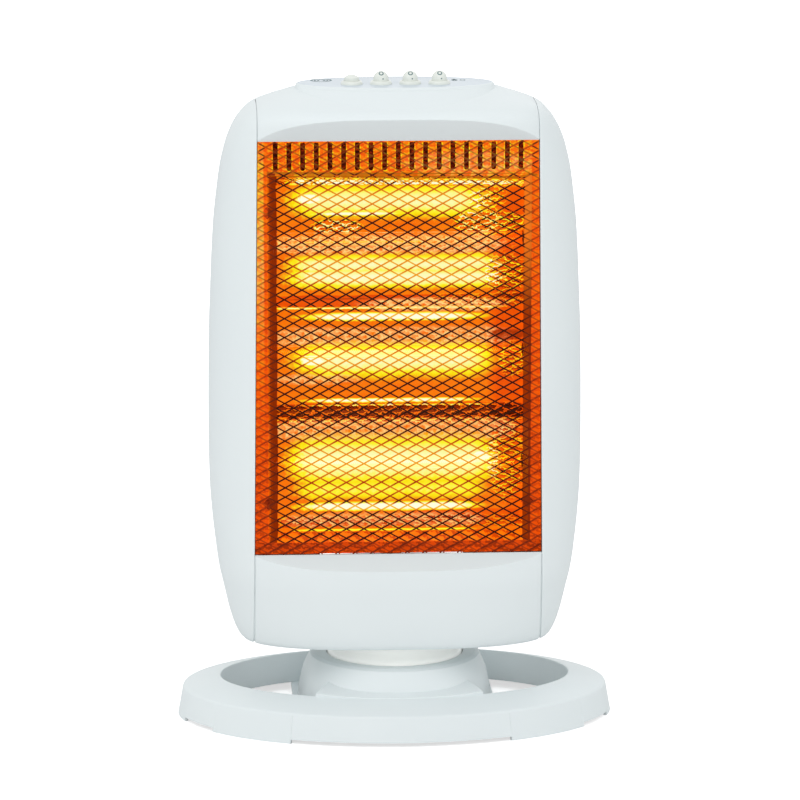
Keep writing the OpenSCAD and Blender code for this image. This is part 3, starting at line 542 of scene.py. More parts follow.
def moulded_skin_group():
    """Moulded plastic: cloudy tone, fine grain, faint handling marks."""
    g, given, out = new_group(
        "moulded_skin",
        [("Place", "vector", None), ("Colour", "colour", (0.8, 0.8, 0.8)),
         ("Shade", "colour", (0.7, 0.7, 0.7)), ("Grain Scale", "number", 900.0),
         ("Roughness Low", "number", 0.25), ("Roughness High", "number", 0.4)],
        [("Colour", "colour"), ("Roughness", "number"), ("Height", "number")])
    place = given.outputs["Place"]
    tint = g.times(g.step(g.noise(place, 5.0), 0.30, 0.75), 0.5)
    tone = g.mix(tint, given.outputs["Colour"], given.outputs["Shade"])
    grain = g.noise(place, given.outputs["Grain Scale"])
    smudge = g.noise(place, 30.0)
    rough = g.node("ShaderNodeMapRange")
    g.fill(rough, {"Value": smudge, "From Min": 0.35, "From Max": 0.7,
                   "To Min": given.outputs["Roughness Low"], "To Max": given.outputs["Roughness High"]})
    g.fill(out, {"Colour": tone, "Roughness": rough.outputs["Result"], "Height": grain})
    return g.tree


def rolled_metal_group():
    """Rolled sheet metal: fine streaks along X, blotches and small scratches."""
    g, given, out = new_group(
        "rolled_metal",
        [("Place", "vector", None), ("Colour", "colour", (0.6, 0.6, 0.6)),
         ("Dull", "colour", (0.4, 0.4, 0.4)), ("Streak Scale", "number", 500.0)],
        [("Colour", "colour"), ("Roughness", "number"), ("Height", "number")])
    along = g.stretched(given.outputs["Place"], (0.06, 1.0, 1.0))
    streak = g.noise(along, given.outputs["Streak Scale"], 3.0)
    blotch = g.noise(given.outputs["Place"], 45.0, 3.0, 0.6)
    worn = g.step(g.times(streak, blotch), 0.18, 0.36)
    g.fill(out, {"Colour": g.mix(worn, given.outputs["Dull"], given.outputs["Colour"]),
                 "Roughness": g.plus(0.22, g.times(blotch, 0.3)), "Height": streak})
    return g.tree


# From the darkest shade between the troughs to the white of the hottest places
HOT_COLOURS = [
    (0.00, linear(46, 6, 0)), (0.12, linear(104, 18, 0)), (0.24, linear(158, 46, 2)),
    (0.36, linear(232, 74, 2)), (0.47, linear(248, 98, 3)), (0.57, linear(250, 130, 10)),
    (0.67, linear(250, 178, 20)), (0.75, linear(252, 226, 10)), (0.83, linear(252, 243, 48)),
    (0.91, linear(251, 249, 152)), (1.00, linear(254, 254, 222)),
]
REST_HEAT = 0.53
EDGE_LOSS = 0.36        # heat lost between the middle of a glow and its edge
THIN_GLOW = 5           # half height up to which a glow keeps a straight edge

# Light of the tubes in their troughs: middle height, half height, left end, right end, taper, heat
GLOWS = [
    (403.0, 14.2, -87, 74, 30, 0.93), (354.5, 9.5, -87, 84, 26, 0.94), (344.5, 9.5, -87, 84, 26, 0.96),
    (281.2, 15.6, -85, 83, 36, 0.94), (203.0, 22.5, -87, 81, 26, 0.95), (181.0, 11.0, -84, 74, 26, 0.84),
    (314.6, 3.0, -72, 66, 42, 1.10), (321.2, 0.9, -94, 84, 12, 0.95),
    (393.7, 2.0, -72, 10, 30, 1.00), (250.0, 1.7, -74, 64, 30, 1.02), (246.3, 0.8, -78, 76, 20, 0.92),
    (167.7, 3.4, -76, 64, 30, 1.08), (148.9, 1.1, -84, 66, 20, 0.82),
    (404.6, 4.2, -76, -56, 10, 1.15), (281.0, 4.4, -74, -54, 10, 1.15), (206.0, 4.4, 56, 74, 9, 1.15),
    (372.0, 1.2, -90, 40, 30, 0.74),
]
# Shade on the ridges between the troughs and on the tray's floor:
# middle height, half height, left end, right end, taper, heat lost
SHADES = [
    (241.6, 5.0, -96, 98, 6, 0.34), (236.0, 3.0, -96, 98, 6, 0.10), (155.4, 4.2, -94, 98, 8, 0.12),
    (161.5, 3.6, 10, 98, 40, 0.10), (329.0, 1.6, -96, 98, 6, 0.16), (325.0, 3.2, -96, -8, 26, 0.14),
    (291.0, 130, 72, 112, 22, 0.13), (300.0, 4.0, 70, 98, 10, 0.14),
]
# Milky reflections of the glass: middle height, half height, left end, right end, taper, amount
REFLECTIONS = [
    (370.4, 6.8, -92, 80, 20, 0.82), (323.4, 4.4, -24, 80, 30, 0.82), (299.6, 6.2, -92, 86, 20, 0.66),
    (266.4, 3.6, -92, -30, 20, 0.62), (227.2, 7.4, -94, 90, 16, 0.60), (157.0, 5.2, -84, 66, 20, 0.52),
    (430.0, 8.0, 10, 112, 60, 0.26),
]
MILKY = linear(255, 210, 128)

# Places where the mesh shows again, mirrored by the bright sheet: middle height, half height, ends,
# taper, strength
MIRRORED_MESH = [
    (239.5, 7.5, -96, 98, 8, 1.0), (155.4, 5.0, -94, 98, 8, 0.6), (326.0, 5.0, 20, 98, 20, 0.8),
    (384.0, 5.0, -64, -26, 12, 1.2), (386.0, 9.0, 44, 98, 18, 1.1), (205.0, 32.0, 70, 98, 12, 0.9),
    (346.0, 16.0, 68, 98, 12, 1.0), (281.0, 14.0, 78, 98, 8, 0.9),
    (404.0, 10.0, 56, 84, 14, 0.7), (370.0, 7.0, -92, 92, 10, 0.35),
]

# The lip above the tray's mouth runs down a little to the right: a painted brown edge over a pale strip
# of painted light
LIP_SLOPE = 0.0137
LIP_EDGE = 421.9
LIP_STRIP = (417.5, 3.2)
LIP_LOSS = 0.3
LIP_GLOWS = [(*LIP_STRIP, -84, 100, 12, 1.0), (LIP_STRIP[0], 1.6, 62, 92, 12, 1.1)]
LOW_MESH = (144.4, 3.6, -92, 96, 8)
# Painted shade on the side walls, painted light on the lit wall, darker painted lines at the lip and left
# edge
WALL_SHADE = linear(136, 42, 1)
WALL_LIT = linear(249, 126, 28)
TOP_EDGE = linear(172, 98, 8)
LEFT_EDGE = linear(168, 80, 4)

# The tray's mouth as it shows in the tubes' plane, between its shaded side walls
MOUTH_LEFT = -95.9
MOUTH_RIGHT = 101.6
MOUTH_LOW = 140.6
MOUTH_HIGH = 425.2
WALL_SEEN = 5.3
RIM_SOFT = 0.6          # half width of the soft edge of the mouth above and below
SIDE_SOFT = 0.4         # and at its sides

# How far a point behind the tubes' plane seems to move aside and up, for each mm of its depth
SEEN_ASIDE = -0.0554
SEEN_UP = 0.198
RIPPLE_SCALE = 0.16     # noise scales, for places in mm
FINE_SCALE = 0.32
MIRRORED_CELL = (CELL_W, 5.2)       # width and height of a mesh cell, mirrored in a trough
LIP_CELL = (7.5, 3.1)               # and in the strip under the lip


class TrayGlow(Graph):
    """The light of the hot tubes in their tray, painted as colour, worked out from places in the object's
    own space.

    It lies in the plane of the tubes, and a point behind or in front of that plane takes the
    place that it covers for someone who stands a little above the heater and in front of it.
    """

    def __init__(self, tree, place):
        super().__init__(tree)
        x, y, z = self.parts(place)
        depth = self.scaled(y, PER_M, -TUBE_Y)
        self.side = self.scaled(depth, SEEN_ASIDE, self.times(x, PER_M))
        self.height = self.scaled(depth, SEEN_UP, self.times(z, PER_M))
        self.lip = self.scaled(self.side, LIP_SLOPE, self.height)
        self.bend_edges()
        self.mirror_mesh()
        self.mask_tray()

    def bend_edges(self):
        """Ripples in the thin sheet bend every edge a little."""
        point = self.node("ShaderNodeCombineXYZ")
        self.fill(point, {"X": self.side, "Z": self.height})
        plane = point.outputs[0]
        self.ripple = self.minus(self.noise(self.stretched(plane, (0.25, 1.0, 1.0)), RIPPLE_SCALE), 0.5)
        self.fine = self.minus(self.noise(plane, FINE_SCALE), 0.5)
        self.bent_height = self.scaled(self.ripple, 5.0, self.scaled(self.fine, 2.0, self.height))
        self.bent_side = self.scaled(self.fine, 12.0, self.side)

    def mirror_mesh(self):
        """The mesh, mirrored by the sheet as thin threads."""
        self.pale_threads = self.threads(self.height, *MIRRORED_CELL, 0.0, 0.13)
        self.dark_threads = self.threads(self.height, *MIRRORED_CELL, 0.22, 0.13)
        self.shade_mesh = self.threads(self.height, CELL_W, CELL_H, 0.3, 0.20)
        self.small_mesh = self.threads(self.lip, *LIP_CELL, 0.0, 0.17)

    def mask_tray(self):
        """The tray's side walls, and its flange beside its mouth, below it and above it."""
        side, height, lip = self.side, self.height, self.lip
        self.below = self.step(height, MOUTH_LOW + RIM_SOFT, MOUTH_LOW - RIM_SOFT)
        self.above = self.step(lip, LIP_EDGE - RIM_SOFT, LIP_EDGE + RIM_SOFT)
        inside = self.times(self.step(height, MOUTH_LOW - RIM_SOFT, MOUTH_LOW + RIM_SOFT),
                            self.step(lip, LIP_EDGE + RIM_SOFT, LIP_EDGE - RIM_SOFT))
        left_wall = self.band(side, MOUTH_LEFT, MOUTH_LEFT + WALL_SEEN, SIDE_SOFT)
        right_wall = self.band(side, MOUTH_RIGHT - WALL_SEEN, MOUTH_RIGHT, SIDE_SOFT)
        self.walls = self.times(self.most(left_wall, right_wall), inside)
        self.right_wall = self.times(right_wall, inside)
        beside = self.most(self.step(side, MOUTH_LEFT + SIDE_SOFT, MOUTH_LEFT - SIDE_SOFT),
                           self.step(side, MOUTH_RIGHT - SIDE_SOFT, MOUTH_RIGHT + SIDE_SOFT))
        beside = self.times(beside, self.step(height, MOUTH_HIGH + 30, MOUTH_HIGH))
        self.outside = self.most(beside, self.below)
        # a lighter column of painted light on the left flange
        pale_column = self.times(self.step(side, -107, -105), self.step(side, -98.5, -100))
        self.pale_column = self.times(pale_column, self.step(height, 150, 400))

    def nearness(self, up, along, middle, half, left, right, taper):
        """Squared distance from the middle of a patch with round ends, 1 on its edge."""
        off = self.scaled(up, 1 / half, -middle / half)
        off = self.times(off, off)
        past_left = self.scaled(along, -1 / taper, left / taper + 1)
        past_right = self.scaled(along, 1 / taper, 1 - right / taper)
        past = self.most(past_left, past_right, 0.0)
        return self.scaled(past, past, off)

    def patch(self, up, along, *shape, soft=0.5):
        """1 in a patch with round ends, with a soft edge."""
        return self.step(self.nearness(up, along, *shape), 1 + soft, 1 - soft)

    def threads(self, up, cell_w, cell_h, shift, width):
        """Lines of a mirrored mesh, in both leans."""
        lines = []
        for lean in (-1, 1):
            turn = self.scaled(self.side, 1 / cell_w, self.times(up, lean / cell_h))
            turn = self.scaled(self.fine, 1.2, self.plus(turn, lean * shift))
            lines.append(self.step(self.math("PINGPONG", turn, 0.5), width, 0.4 * width))
        return self.most(*lines)

    def layered(self, start, *layers):
        """start, with each (value, factor) added in turn."""
        for value, factor in layers:
            start = self.scaled(value, factor, start)
        return start

    def trough_heat(self):
        """Heat inside the tray's mouth."""
        heats = [self.scaled(self.ripple, 0.12, REST_HEAT)]
        straight = self.scaled(self.fine, 1.2, self.height)
        for *shape, peak in GLOWS:
            up = self.bent_height if shape[1] > THIN_GLOW else straight
            heats.append(self.scaled(self.nearness(up, self.bent_side, *shape), -EDGE_LOSS, peak))
        for *shape, peak in LIP_GLOWS:
            heats.append(self.scaled(self.nearness(self.lip, self.side, *shape), -LIP_LOSS, peak))
        waved = self.scaled(self.ripple, 3.0, self.height)
        shades = [(self.patch(waved, self.side, *shape), -loss) for *shape, loss in SHADES]
        heat = self.layered(self.most(*heats), *shades)

        # mirrored threads, bright above and dark below, and the mottling by the coils' windings
        seen = self.most(*[self.times(self.patch(self.height, self.side, *shape), strength)
                           for *shape, strength in MIRRORED_MESH])
        low = self.patch(self.height, self.side, *LOW_MESH)
        in_strip = self.patch(self.lip, self.side, *LIP_STRIP, -92, 106, 8)
        return self.layered(
            heat, (self.times(self.pale_threads, seen), 0.34),
            (self.times(self.dark_threads, seen), -0.16), (self.times(self.shade_mesh, low), -0.22),
            (self.times(self.small_mesh, in_strip), -0.34), (self.fine, 0.10))

    def tray_heat(self):
        """Heat of the whole tray: its side walls stand in the shade, and its flange is dim."""
        wall_heat = self.step(self.bent_side, MOUTH_LEFT + WALL_SEEN, MOUTH_LEFT)
        wall_heat = self.scaled(wall_heat, 0.08, 0.15)
        flange_heat = self.scaled(self.step(self.height, MOUTH_LOW, MOUTH_HIGH), 0.12, 0.38)
        flange_heat = self.layered(flange_heat, (self.ripple, 0.20), (self.below, -0.06),
                                   (self.pale_column, 0.17), (self.shade_mesh, -0.09))
        strip_heat = self.layered(self.scaled(self.side, 0.0003, 0.53), (self.fine, 0.22),
                                  (self.small_mesh, 0.10), (self.shade_mesh, -0.12))
        heat = self.choose(self.walls, self.trough_heat(), wall_heat)
        heat = self.choose(self.above, heat, strip_heat)
        return self.choose(self.outside, heat, flange_heat)

    def tray_colour(self, heat):
        """Colour of the heat, with painted milky reflections, painted wall shade and light, and painted
        edges.
        """
        colour = self.ramp(heat, HOT_COLOURS)
        bright = self.step(heat, 0.25, 0.40)
        covered = self.math("MINIMUM", self.most(self.walls, self.outside), bright)
        uncovered = self.minus(bright, covered)
        milk = self.scaled(self.fine, 3.0, self.scaled(self.pale_threads, 0.75, 0.42))
        for *shape, amount in REFLECTIONS:
            share = self.times(self.patch(self.bent_height, self.side, *shape, soft=0.8), amount)
            share = self.times(self.times(share, milk, clamp=True), uncovered)
            colour = self.mix(share, colour, MILKY)
        # high on the right the wall mirrors the bright strip
        lit_wall = self.times(self.right_wall, self.step(self.height, 305, 390))
        dim_wall = self.minus(self.walls, lit_wall, clamp=True)
        paled = self.times(self.pale_column, self.scaled(self.fine, 1.2, 0.24), clamp=True)
        paled = self.times(paled, self.step(self.height, 270, 360))
        paled = self.times(paled, self.scaled(self.step(self.height, 370, 400), -0.65, 1.0))
        top_edge = self.patch(self.lip, self.side, LIP_EDGE, 1.0, -97, 106, 3)
        left_edge = self.patch(self.side, self.height, MOUTH_LEFT, 0.7, MOUTH_LOW, MOUTH_HIGH, 3)
        # painted shade on the walls, painted light on the lit wall and the pale column, darker painted
        # lines at the edges
        for share, tone in (
                (self.times(dim_wall, 0.7), WALL_SHADE), (self.times(lit_wall, 0.85), WALL_LIT),
                (self.times(paled, self.minus(1.0, self.below)), MILKY),
                (self.times(self.times(top_edge, bright), 0.85), TOP_EDGE),
                (self.times(self.times(left_edge, bright), 0.6), LEFT_EDGE)):
            colour = self.mix(share, colour, tone)
        return colour


def glow_group():
    """Colour and heat of the tray's light, and a mask of its flange and walls."""
    g, given, out = new_group(
        "tray_glow", [("Place", "vector", None), ("Extra Heat", "number", 0.0)],
        [("Colour", "colour"), ("Heat", "number"), ("Flange", "number")])
    glow = TrayGlow(g.tree, given.outputs["Place"])
    heat = glow.plus(glow.tray_heat(), given.outputs["Extra Heat"])
    g.fill(out, {"Colour": glow.tray_colour(heat), "Heat": heat,
                 "Flange": glow.most(glow.outside, glow.above, glow.walls)})
    return g.tree


moulded_skin = moulded_skin_group()
rolled_metal = rolled_metal_group()
tray_glow = glow_group()


# ------------------------------------------------------------------ materials

def plastic(name, colour, shade, rough=(0.25, 0.4), grain=900.0, bump=0.08, coat=0.0, specular=0.5):
    return surface(name, moulded_skin, {
        "Colour": colour, "Shade": shade, "Grain Scale": grain, "Roughness Low": rough[0],
        "Roughness High": rough[1]}, bump, {"Coat Weight": coat, "Specular IOR Level": specular})[0]


def kept_inside(graph, colour):
    """The colour as it is seen, but only a faint light on the white shells around it."""
    path = graph.node("ShaderNodeLightPath")
    faint = graph.mix(0.85, colour, BLACK)
    return graph.mix(path.outputs["Is Diffuse Ray"], colour, faint)


def front_only(graph, colour):
    """The colour on every side but the one that faces the rear cover, which stays dark."""
    facing = graph.parts(graph.node("ShaderNodeTexCoord").outputs["Normal"])["Y"]
    return graph.mix(graph.step(facing, 0.2, 0.4), colour, (0.004, 0.001, 0.0))


def tray_light(g, place, extra_heat):
    """The outputs of the glow: Colour, Heat and Flange."""
    return use_group(g, tray_glow, {"Place": place, "Extra Heat": extra_heat}).outputs


def dark_sheet(name, tone, dull_share, streak, bump, specular):
    """Dark metal with painted light on it, sent out as emission."""
    return surface(name, rolled_metal, {
        "Colour": tone, "Dull": tuple(c * dull_share for c in tone), "Streak Scale": streak},
        bump, {"Emission Strength": 1.0, "Specular IOR Level": specular})[:4]


def glowing(name, extra_heat=0.0):
    """Sheet metal with the tubes' light painted on it as emission: glow, shade and reflections."""
    material, g, shader, place = dark_sheet(name, (0.02, 0.008, 0.004), 0.6, 700.0, 0.1, 0.04)
    colour = tray_light(g, place, extra_heat)["Colour"]
    g.put(shader.inputs["Emission Color"], kept_inside(g, front_only(g, colour)))
    return material


white_plastic = plastic("white_plastic", linear(229, 236, 237), linear(224, 232, 234), (0.38, 0.46),
                        bump=0.05, specular=0.25)
panel_plastic = plastic("panel_plastic", linear(206, 216, 224), linear(198, 210, 218), (0.3, 0.36),
                        bump=0.05, specular=0.35)
CAP_TONE = linear(230, 234, 227)
CAP_SHADE = linear(224, 229, 222)
CAP_ROUGH = (0.26, 0.32)
CAP_COAT = 0.2
cap_plastic = plastic("cap_plastic", CAP_TONE, CAP_SHADE, CAP_ROUGH, coat=CAP_COAT)
turntable_plastic = plastic("turntable_plastic", linear(246, 247, 243), linear(240, 242, 237), (0.2, 0.3),
                            coat=CAP_COAT)
through = turntable_plastic.node_tree.nodes["Principled BSDF"]      # painted light: a faint even glow that lifts the turntable out of the head's shade
through.inputs["Emission Color"].default_value = (1.0, 1.0, 0.98, 1.0)
through.inputs["Emission Strength"].default_value = 0.16
printed_ink = plastic("printed_ink", linear(80, 112, 118), linear(70, 102, 108), (0.4, 0.5), 500.0)
nylon = plastic("nylon", linear(226, 222, 210), linear(208, 204, 190), (0.45, 0.6), 500.0)
dark_plastic = plastic("dark_plastic", linear(48, 48, 50), linear(34, 34, 36), (0.4, 0.6), 600.0, 0.15)
ceramic = plastic("ceramic", linear(236, 232, 220), linear(214, 206, 190), (0.5, 0.7), 350.0, 0.2)
steel = surface("zinc_steel", rolled_metal, {
    "Colour": linear(196, 198, 200), "Dull": linear(150, 152, 156), "Streak Scale": 500.0},
    0.12, {"Metallic": 1.0})[0]


def cap_with_print():
    """Cream plastic with a small printed ring high on its front, and a dot below it."""
    material, g, shader, place, skin = surface("printed_cap", moulded_skin, {
        "Colour": CAP_TONE, "Shade": CAP_SHADE, "Grain Scale": 900.0, "Roughness Low": CAP_ROUGH[0],
        "Roughness High": CAP_ROUGH[1]}, 0.05, {"Coat Weight": CAP_COAT})

    def distance(point):
        away = g.node("ShaderNodeVectorMath", operation="DISTANCE")
        g.put(away.inputs[0], place)
        away.inputs[1].default_value = [c * MM for c in point]
        return g.times(away.outputs["Value"], PER_M)

    ring = g.math("ABSOLUTE", g.minus(distance((0.0, -3.9, -1.5)), 1.5))
    ink = g.most(g.step(ring, 0.50, 0.30), g.step(distance((1.3, -5.55, -5.6)), 0.62, 0.45))
    g.put(shader.inputs["Base Color"], g.mix(ink, skin.outputs["Colour"], linear(72, 108, 112)))
    return material


printed_cap = cap_with_print()
# Painted light on the sheets: brighter on the slot rims, dimmer on the clips and the duct wall
trough_sheet = glowing("trough_sheet")
tray_sheet = glowing("tray_sheet")
clip_sheet = glowing("clip_sheet", extra_heat=-0.16)
rim_sheet = glowing("rim_sheet", extra_heat=0.12)
vent_back = glowing("vent_back", extra_heat=-0.44)


# ------------------------------------------------------------------ head shells

SIDE_STEPS = 36         # points along a side shell's section
SIDE_ROWS = 110
STRIP_HALF = 2.4        # half width of the strips behind the seams
SPLIT_STRIP_T = 0.8     # thickness of the strip behind the rear split, and half its height
SPLIT_STRIP_HALF = 3.0
CREASE_R = 1.6          # rounding of the creases above and below the window
WINDOW_LIP = 2.0        # how far the covers turn in at the window's edge


def tip_height():
    """Height at which the side shells end, just below the roof."""
    return roof_at(SEAM_HIGH) - 0.6


def side_curve(z, half, inset):
    """A side shell's section at one height, from its front seam round to its rear seam."""
    seam = seam_x(z) + SEAM_GAP / 2
    s = height_share(z)
    power_front = front_squareness(s)
    start = -math.acos(min(0.9999, (seam / half) ** (power_front / 2)))
    end = math.acos(min(0.9999, (seam / half) ** (REAR_POWER / 2)))
    points = []
    for t in even(start, end, SIDE_STEPS):
        power = power_front if t < 0 else REAR_POWER
        depth = HEAD_FRONT * front_share(s) if t < 0 else HEAD_REAR * rear_share(s)
        y = math.copysign((depth - inset) * abs(math.sin(t)) ** (2 / power), t)
        points.append((half * math.cos(t) ** (2 / power), y, z))
    return points


def rounded_ends(outer, inner, radius):
    """Outer line with both ends turned in over a radius, towards the inner line's ends."""
    for end, before in ((0, 1), (-1, -2)):
        p = Vector(outer[end])
        along = Vector(outer[before]) - p
        inward = Vector(inner[end]) - p
        r = min(radius, 0.4 * along.length, 0.4 * inward.length)
        along.normalize()
        inward.normalize()
        turn = [tuple(p + inward * r), tuple(p + inward * 0.3 * r + along * 0.3 * r),
                tuple(p + along * r)]
        outer = turn + outer[1:] if end == 0 else outer[:-1] + turn[::-1]
    return outer


def padded_ends(inner, outer):
    """Inner line with two more points at each end, so that it has as many as the outer line."""
    def near(end, share):
        return tuple(Vector(inner[end]).lerp(Vector(outer[end]), share))
    return [near(0, 0.02), near(0, 0.01)] + inner + [near(-1, 0.01), near(-1, 0.02)]


def side_shell(name, side, node_name):
    """A side shell of even wall. side is -1 for the left one and 1 for the right one."""
    rings = []
    for z in spread(HEAD_Z0, tip_height(), SIDE_ROWS):
        half = half_w(z)
        if half < seam_x(z) + SEAM_GAP:
            break
        slim = max(half - SHELL_T, seam_x(z) + 0.35 * (half - seam_x(z)))
        inner = side_curve(z, slim, SHELL_T)
        outer = rounded_ends(side_curve(z, half, 0.0), inner, EDGE_R)
        section = outer + padded_ends(inner, outer)[::-1]
        rings.append([(side * x, y, h) for x, y, h in section])
    add_piece(name, ring_solid(rings), white_plastic, "head", [node_name])


side_shell("left_side", -1, "left_side_shell")
side_shell("right_side", 1, "right_side_shell")

HEART_Z = 452.0         # height of the point that the roof's skin is pulled towards


def skin_rows(section, edge_z, count):
    """Sections across the centre column, pulled in towards the seams' rounded edges."""
    edge = seam_x(edge_z) - SEAM_GAP / 2
    rows = []
    for share, inset in across(count):
        x = share * (edge - inset)
        rows.append([(x, y, z) for y, z in pulled_in(section(x), edge_pull(inset))])
    return rows


def pulled_in(points, amount):
    """The (y, z) line moved into the head: level below the brow, and towards its heart above."""
    moved = []
    for y, z in points:
        inward = Vector((-y, min(0.0, HEART_Z - z))).normalized()
        moved.append((y + inward[0] * amount, z + inward[1] * amount))
    return moved


def seam_lips():
    """White strips just behind the seams, where the shells overlap, so no light shows through."""
    below = even(HEAD_Z0 + 1, WINDOW_Z0 - 1, 16)
    above = even(WINDOW_Z1 + 1, tip_height(), 30)
    behind = even(tip_height(), HEAD_Z0 + 1, 60)
    strips = []
    for side in (-1, 1):
        for heights, depth in ((below, front_y), (above, front_y), (behind, rear_y)):
            rings = []
            for z in heights:
                corners = []
                for aside, sunk in ((-1, 1.0), (1, 1.0), (1, 1.8), (-1, 1.8)):
                    x = seam_x(z) + aside * STRIP_HALF
                    (y, lower), = pulled_in([(depth(min(x, 0.999 * half_w(z)), z), z)], sunk)
                    corners.append((side * x, y, lower))
                rings.append(corners)
            strips.append(ring_solid(rings))
    rings = []
    for x in even(-SEAM_HIGH + 3, SEAM_HIGH - 3, 40):
        outside = rear_y(x, REAR_SPLIT_Z) - SHELL_T
        rings.append([(x, outside - sunk, REAR_SPLIT_Z + up * SPLIT_STRIP_HALF)
                      for sunk, up in ((0, 1), (0, -1), (SPLIT_STRIP_T, -1), (SPLIT_STRIP_T, 1))])
    strips.append(ring_solid(rings))
    add_piece("seam_lips", joined(strips), white_plastic, "head")


def chin_section(x):
    """The chin from its foot up to the window, as a line of (y, z)."""
    crease = bevel_z(x, WINDOW_Z0, -CHIN_BEVEL)
    edge_z = WINDOW_Z0 - SEAM_GAP / 2
    line = [(front_y(x, z), z) for z in spread(HEAD_Z0, crease, 30)]
    line += [(-GRILLE_Y, edge_z), (-GRILLE_Y + WINDOW_LIP, edge_z - 0.1)]
    return fillet(line, len(line) - 3, CREASE_R)


def brow_section(x):
    """The brow and roof from the window up and back to the rear split, as a line of (y, z)."""
    crease = bevel_z(x, WINDOW_Z1, BROW_BEVEL)
    edge_z = WINDOW_Z1 + SEAM_GAP / 2
    roof = roof_at(x)
    steps = 41
    line = [(-GRILLE_Y + WINDOW_LIP, edge_z + 0.1), (-GRILLE_Y, edge_z)]
    for i in range(steps):
        z = crease + (roof - crease) * math.sin(math.pi / 2 * i / steps)
        line.append((front_y(x, z), z))
    for i in range(steps + 1):
        z = REAR_SPLIT_Z + (roof - REAR_SPLIT_Z) * math.sin(math.pi / 2 * (1 - i / steps))
        line.append((0.0 if i == 0 else rear_y(x, z), z))
    return fillet(line, 2, CREASE_R)


def add_skin(name, rows, stands_for, keep=None):
    """A white shell of even wall through rows of points. keep picks its faces by their middle."""
    verts, faces = grid(rows)
    if keep is not None:
        faces = [f for f in faces if keep(*middle_of([verts[i] for i in f]))]
    piece = add_piece(name, (verts, faces), white_plastic, "head", stands_for)
    face_outward(piece, HEAD_MIDDLE)
    add_wall(piece, SHELL_T)
    return piece


def middle_of(corners):
    return [sum(p[axis] for p in corners) / len(corners) for axis in range(3)]


seam_lips()
add_skin("chin_skin", skin_rows(chin_section, WINDOW_Z0, 64), ["chin_cover"])

POD_HOLE_X = 70.0       # half width and half depth of the hole in the roof
POD_HOLE_Y = 43.0
POD_HOLE_MIDDLE = -14.0
POD_HOLE_Z0 = 460


def outside_pod(x, y, z):
    """Leaves the top cover open where the control pod stands in it."""
    return z < POD_HOLE_Z0 or (x / POD_HOLE_X) ** 2 + ((y - POD_HOLE_MIDDLE) / POD_HOLE_Y) ** 2 > 1


add_skin("brow_and_roof", skin_rows(brow_section, WINDOW_Z1, 84), ["top_cover"], keep=outside_pod)

# ------------------------------------------------------------------ rear cover

GRIP_HALF = 55.0
GRIP_LOW = 405.5
GRIP_HIGH = 431.5
GRIP_FLOOR_Y = 26.0
GRIP_TAPER_X = 0.97     # the floor's width, as a share of the mouth's
GRIP_TAPER_Z = 0.06     # and what its height loses
LOUVRED_HALF = 80       # half width of the part whose grid lines are upright
PLAIN_W = 28            # rough width of the rest, up to the seam
LOUVRE_H = 3.6
LOUVRE_PITCH = 9.0
LOUVRE_INNER = 8.0
LOUVRE_OUTER = 56.0
LOUVRE_TOPS = [391.5 - LOUVRE_PITCH * i for i in range(9)] + [125.5 - LOUVRE_PITCH * i for i in range(4)]


def merged_lines(fixed, extra, least):
    """Sorted numbers with every fixed one, and the extra ones that keep clear of them."""
    lines = sorted(set(fixed))
    for value in extra:
        if all(abs(value - line) > least for line in lines):
            lines.append(value)
    return sorted(lines)


def rear_cover():
    """The rear cover, with its louvres cut out and a grip pocket sunk in."""
    fixed_x = [s * v for s in (-1, 1) for v in (LOUVRE_INNER, LOUVRE_OUTER, GRIP_HALF)]
    x_lines = merged_lines(fixed_x, even(-LOUVRED_HALF, LOUVRED_HALF, 40), 1.5)
    outer = even(0.1, 0.96, 9) + [1 - EDGE_R / PLAIN_W, 1 - 0.3 * EDGE_R / PLAIN_W, 1.0]
    fixed_z = [t - d for t in LOUVRE_TOPS for d in (0, LOUVRE_H)] + [GRIP_LOW, GRIP_HIGH]
    z_lines = merged_lines(fixed_z, spread(HEAD_Z0, REAR_SPLIT_Z - SEAM_GAP, 90), 1.2)
    rows = []
    for z in z_lines:
        seam = seam_x(z) - SEAM_GAP / 2
        beside = [LOUVRED_HALF + (seam - LOUVRED_HALF) * s for s in outer]
        xs = [-x for x in reversed(beside)] + x_lines + beside
        rows.append([(x, rear_y(x, z) - edge_pull(seam - abs(x)), z) for x in xs])

    def is_solid(x, y, z):
        if abs(x) < GRIP_HALF and GRIP_LOW < z < GRIP_HIGH:
            return False
        in_louvre = any(top - LOUVRE_H < z < top for top in LOUVRE_TOPS)
        return not (in_louvre and LOUVRE_INNER < abs(x) < LOUVRE_OUTER)

    piece = add_skin("rear_panel", rows, ["rear_cover"], keep=is_solid)
    add_grip_pocket(piece)
    round_edges(piece, "rim", 0.5, 2, 60)


def add_grip_pocket(piece):
    """Sinks the opening's edge into the head and closes it with a floor."""
    middle_z = (GRIP_LOW + GRIP_HIGH) / 2
    work = bmesh.new()
    work.from_mesh(piece.data)
    rim = []
    for edge in work.edges:
        if len(edge.link_faces) != 1:
            continue
        middle = (edge.verts[0].co + edge.verts[1].co) / 2 / MM
        if abs(middle.x) < GRIP_HALF + 0.01 and GRIP_LOW - 0.01 < middle.z < GRIP_HIGH + 0.01:
            rim.append(edge)
    made = bmesh.ops.extrude_edge_only(work, edges=rim)["geom"]
    for vert in made:
        if isinstance(vert, bmesh.types.BMVert):
            vert.co.y = GRIP_FLOOR_Y * MM
            vert.co.x *= GRIP_TAPER_X
            vert.co.z += (middle_z * MM - vert.co.z) * GRIP_TAPER_Z
    floor_edges = [e for e in made if isinstance(e, bmesh.types.BMEdge)]
    bmesh.ops.contextual_create(work, geom=floor_edges)
    bmesh.ops.recalc_face_normals(work, faces=work.faces)
    work.to_mesh(piece.data)
    work.free()
    face_outward(piece, HEAD_MIDDLE)
    piece.data.set_sharp_from_angle(angle=math.radians(32))


rear_cover()

# ------------------------------------------------------------------ control pod, collars and buttons

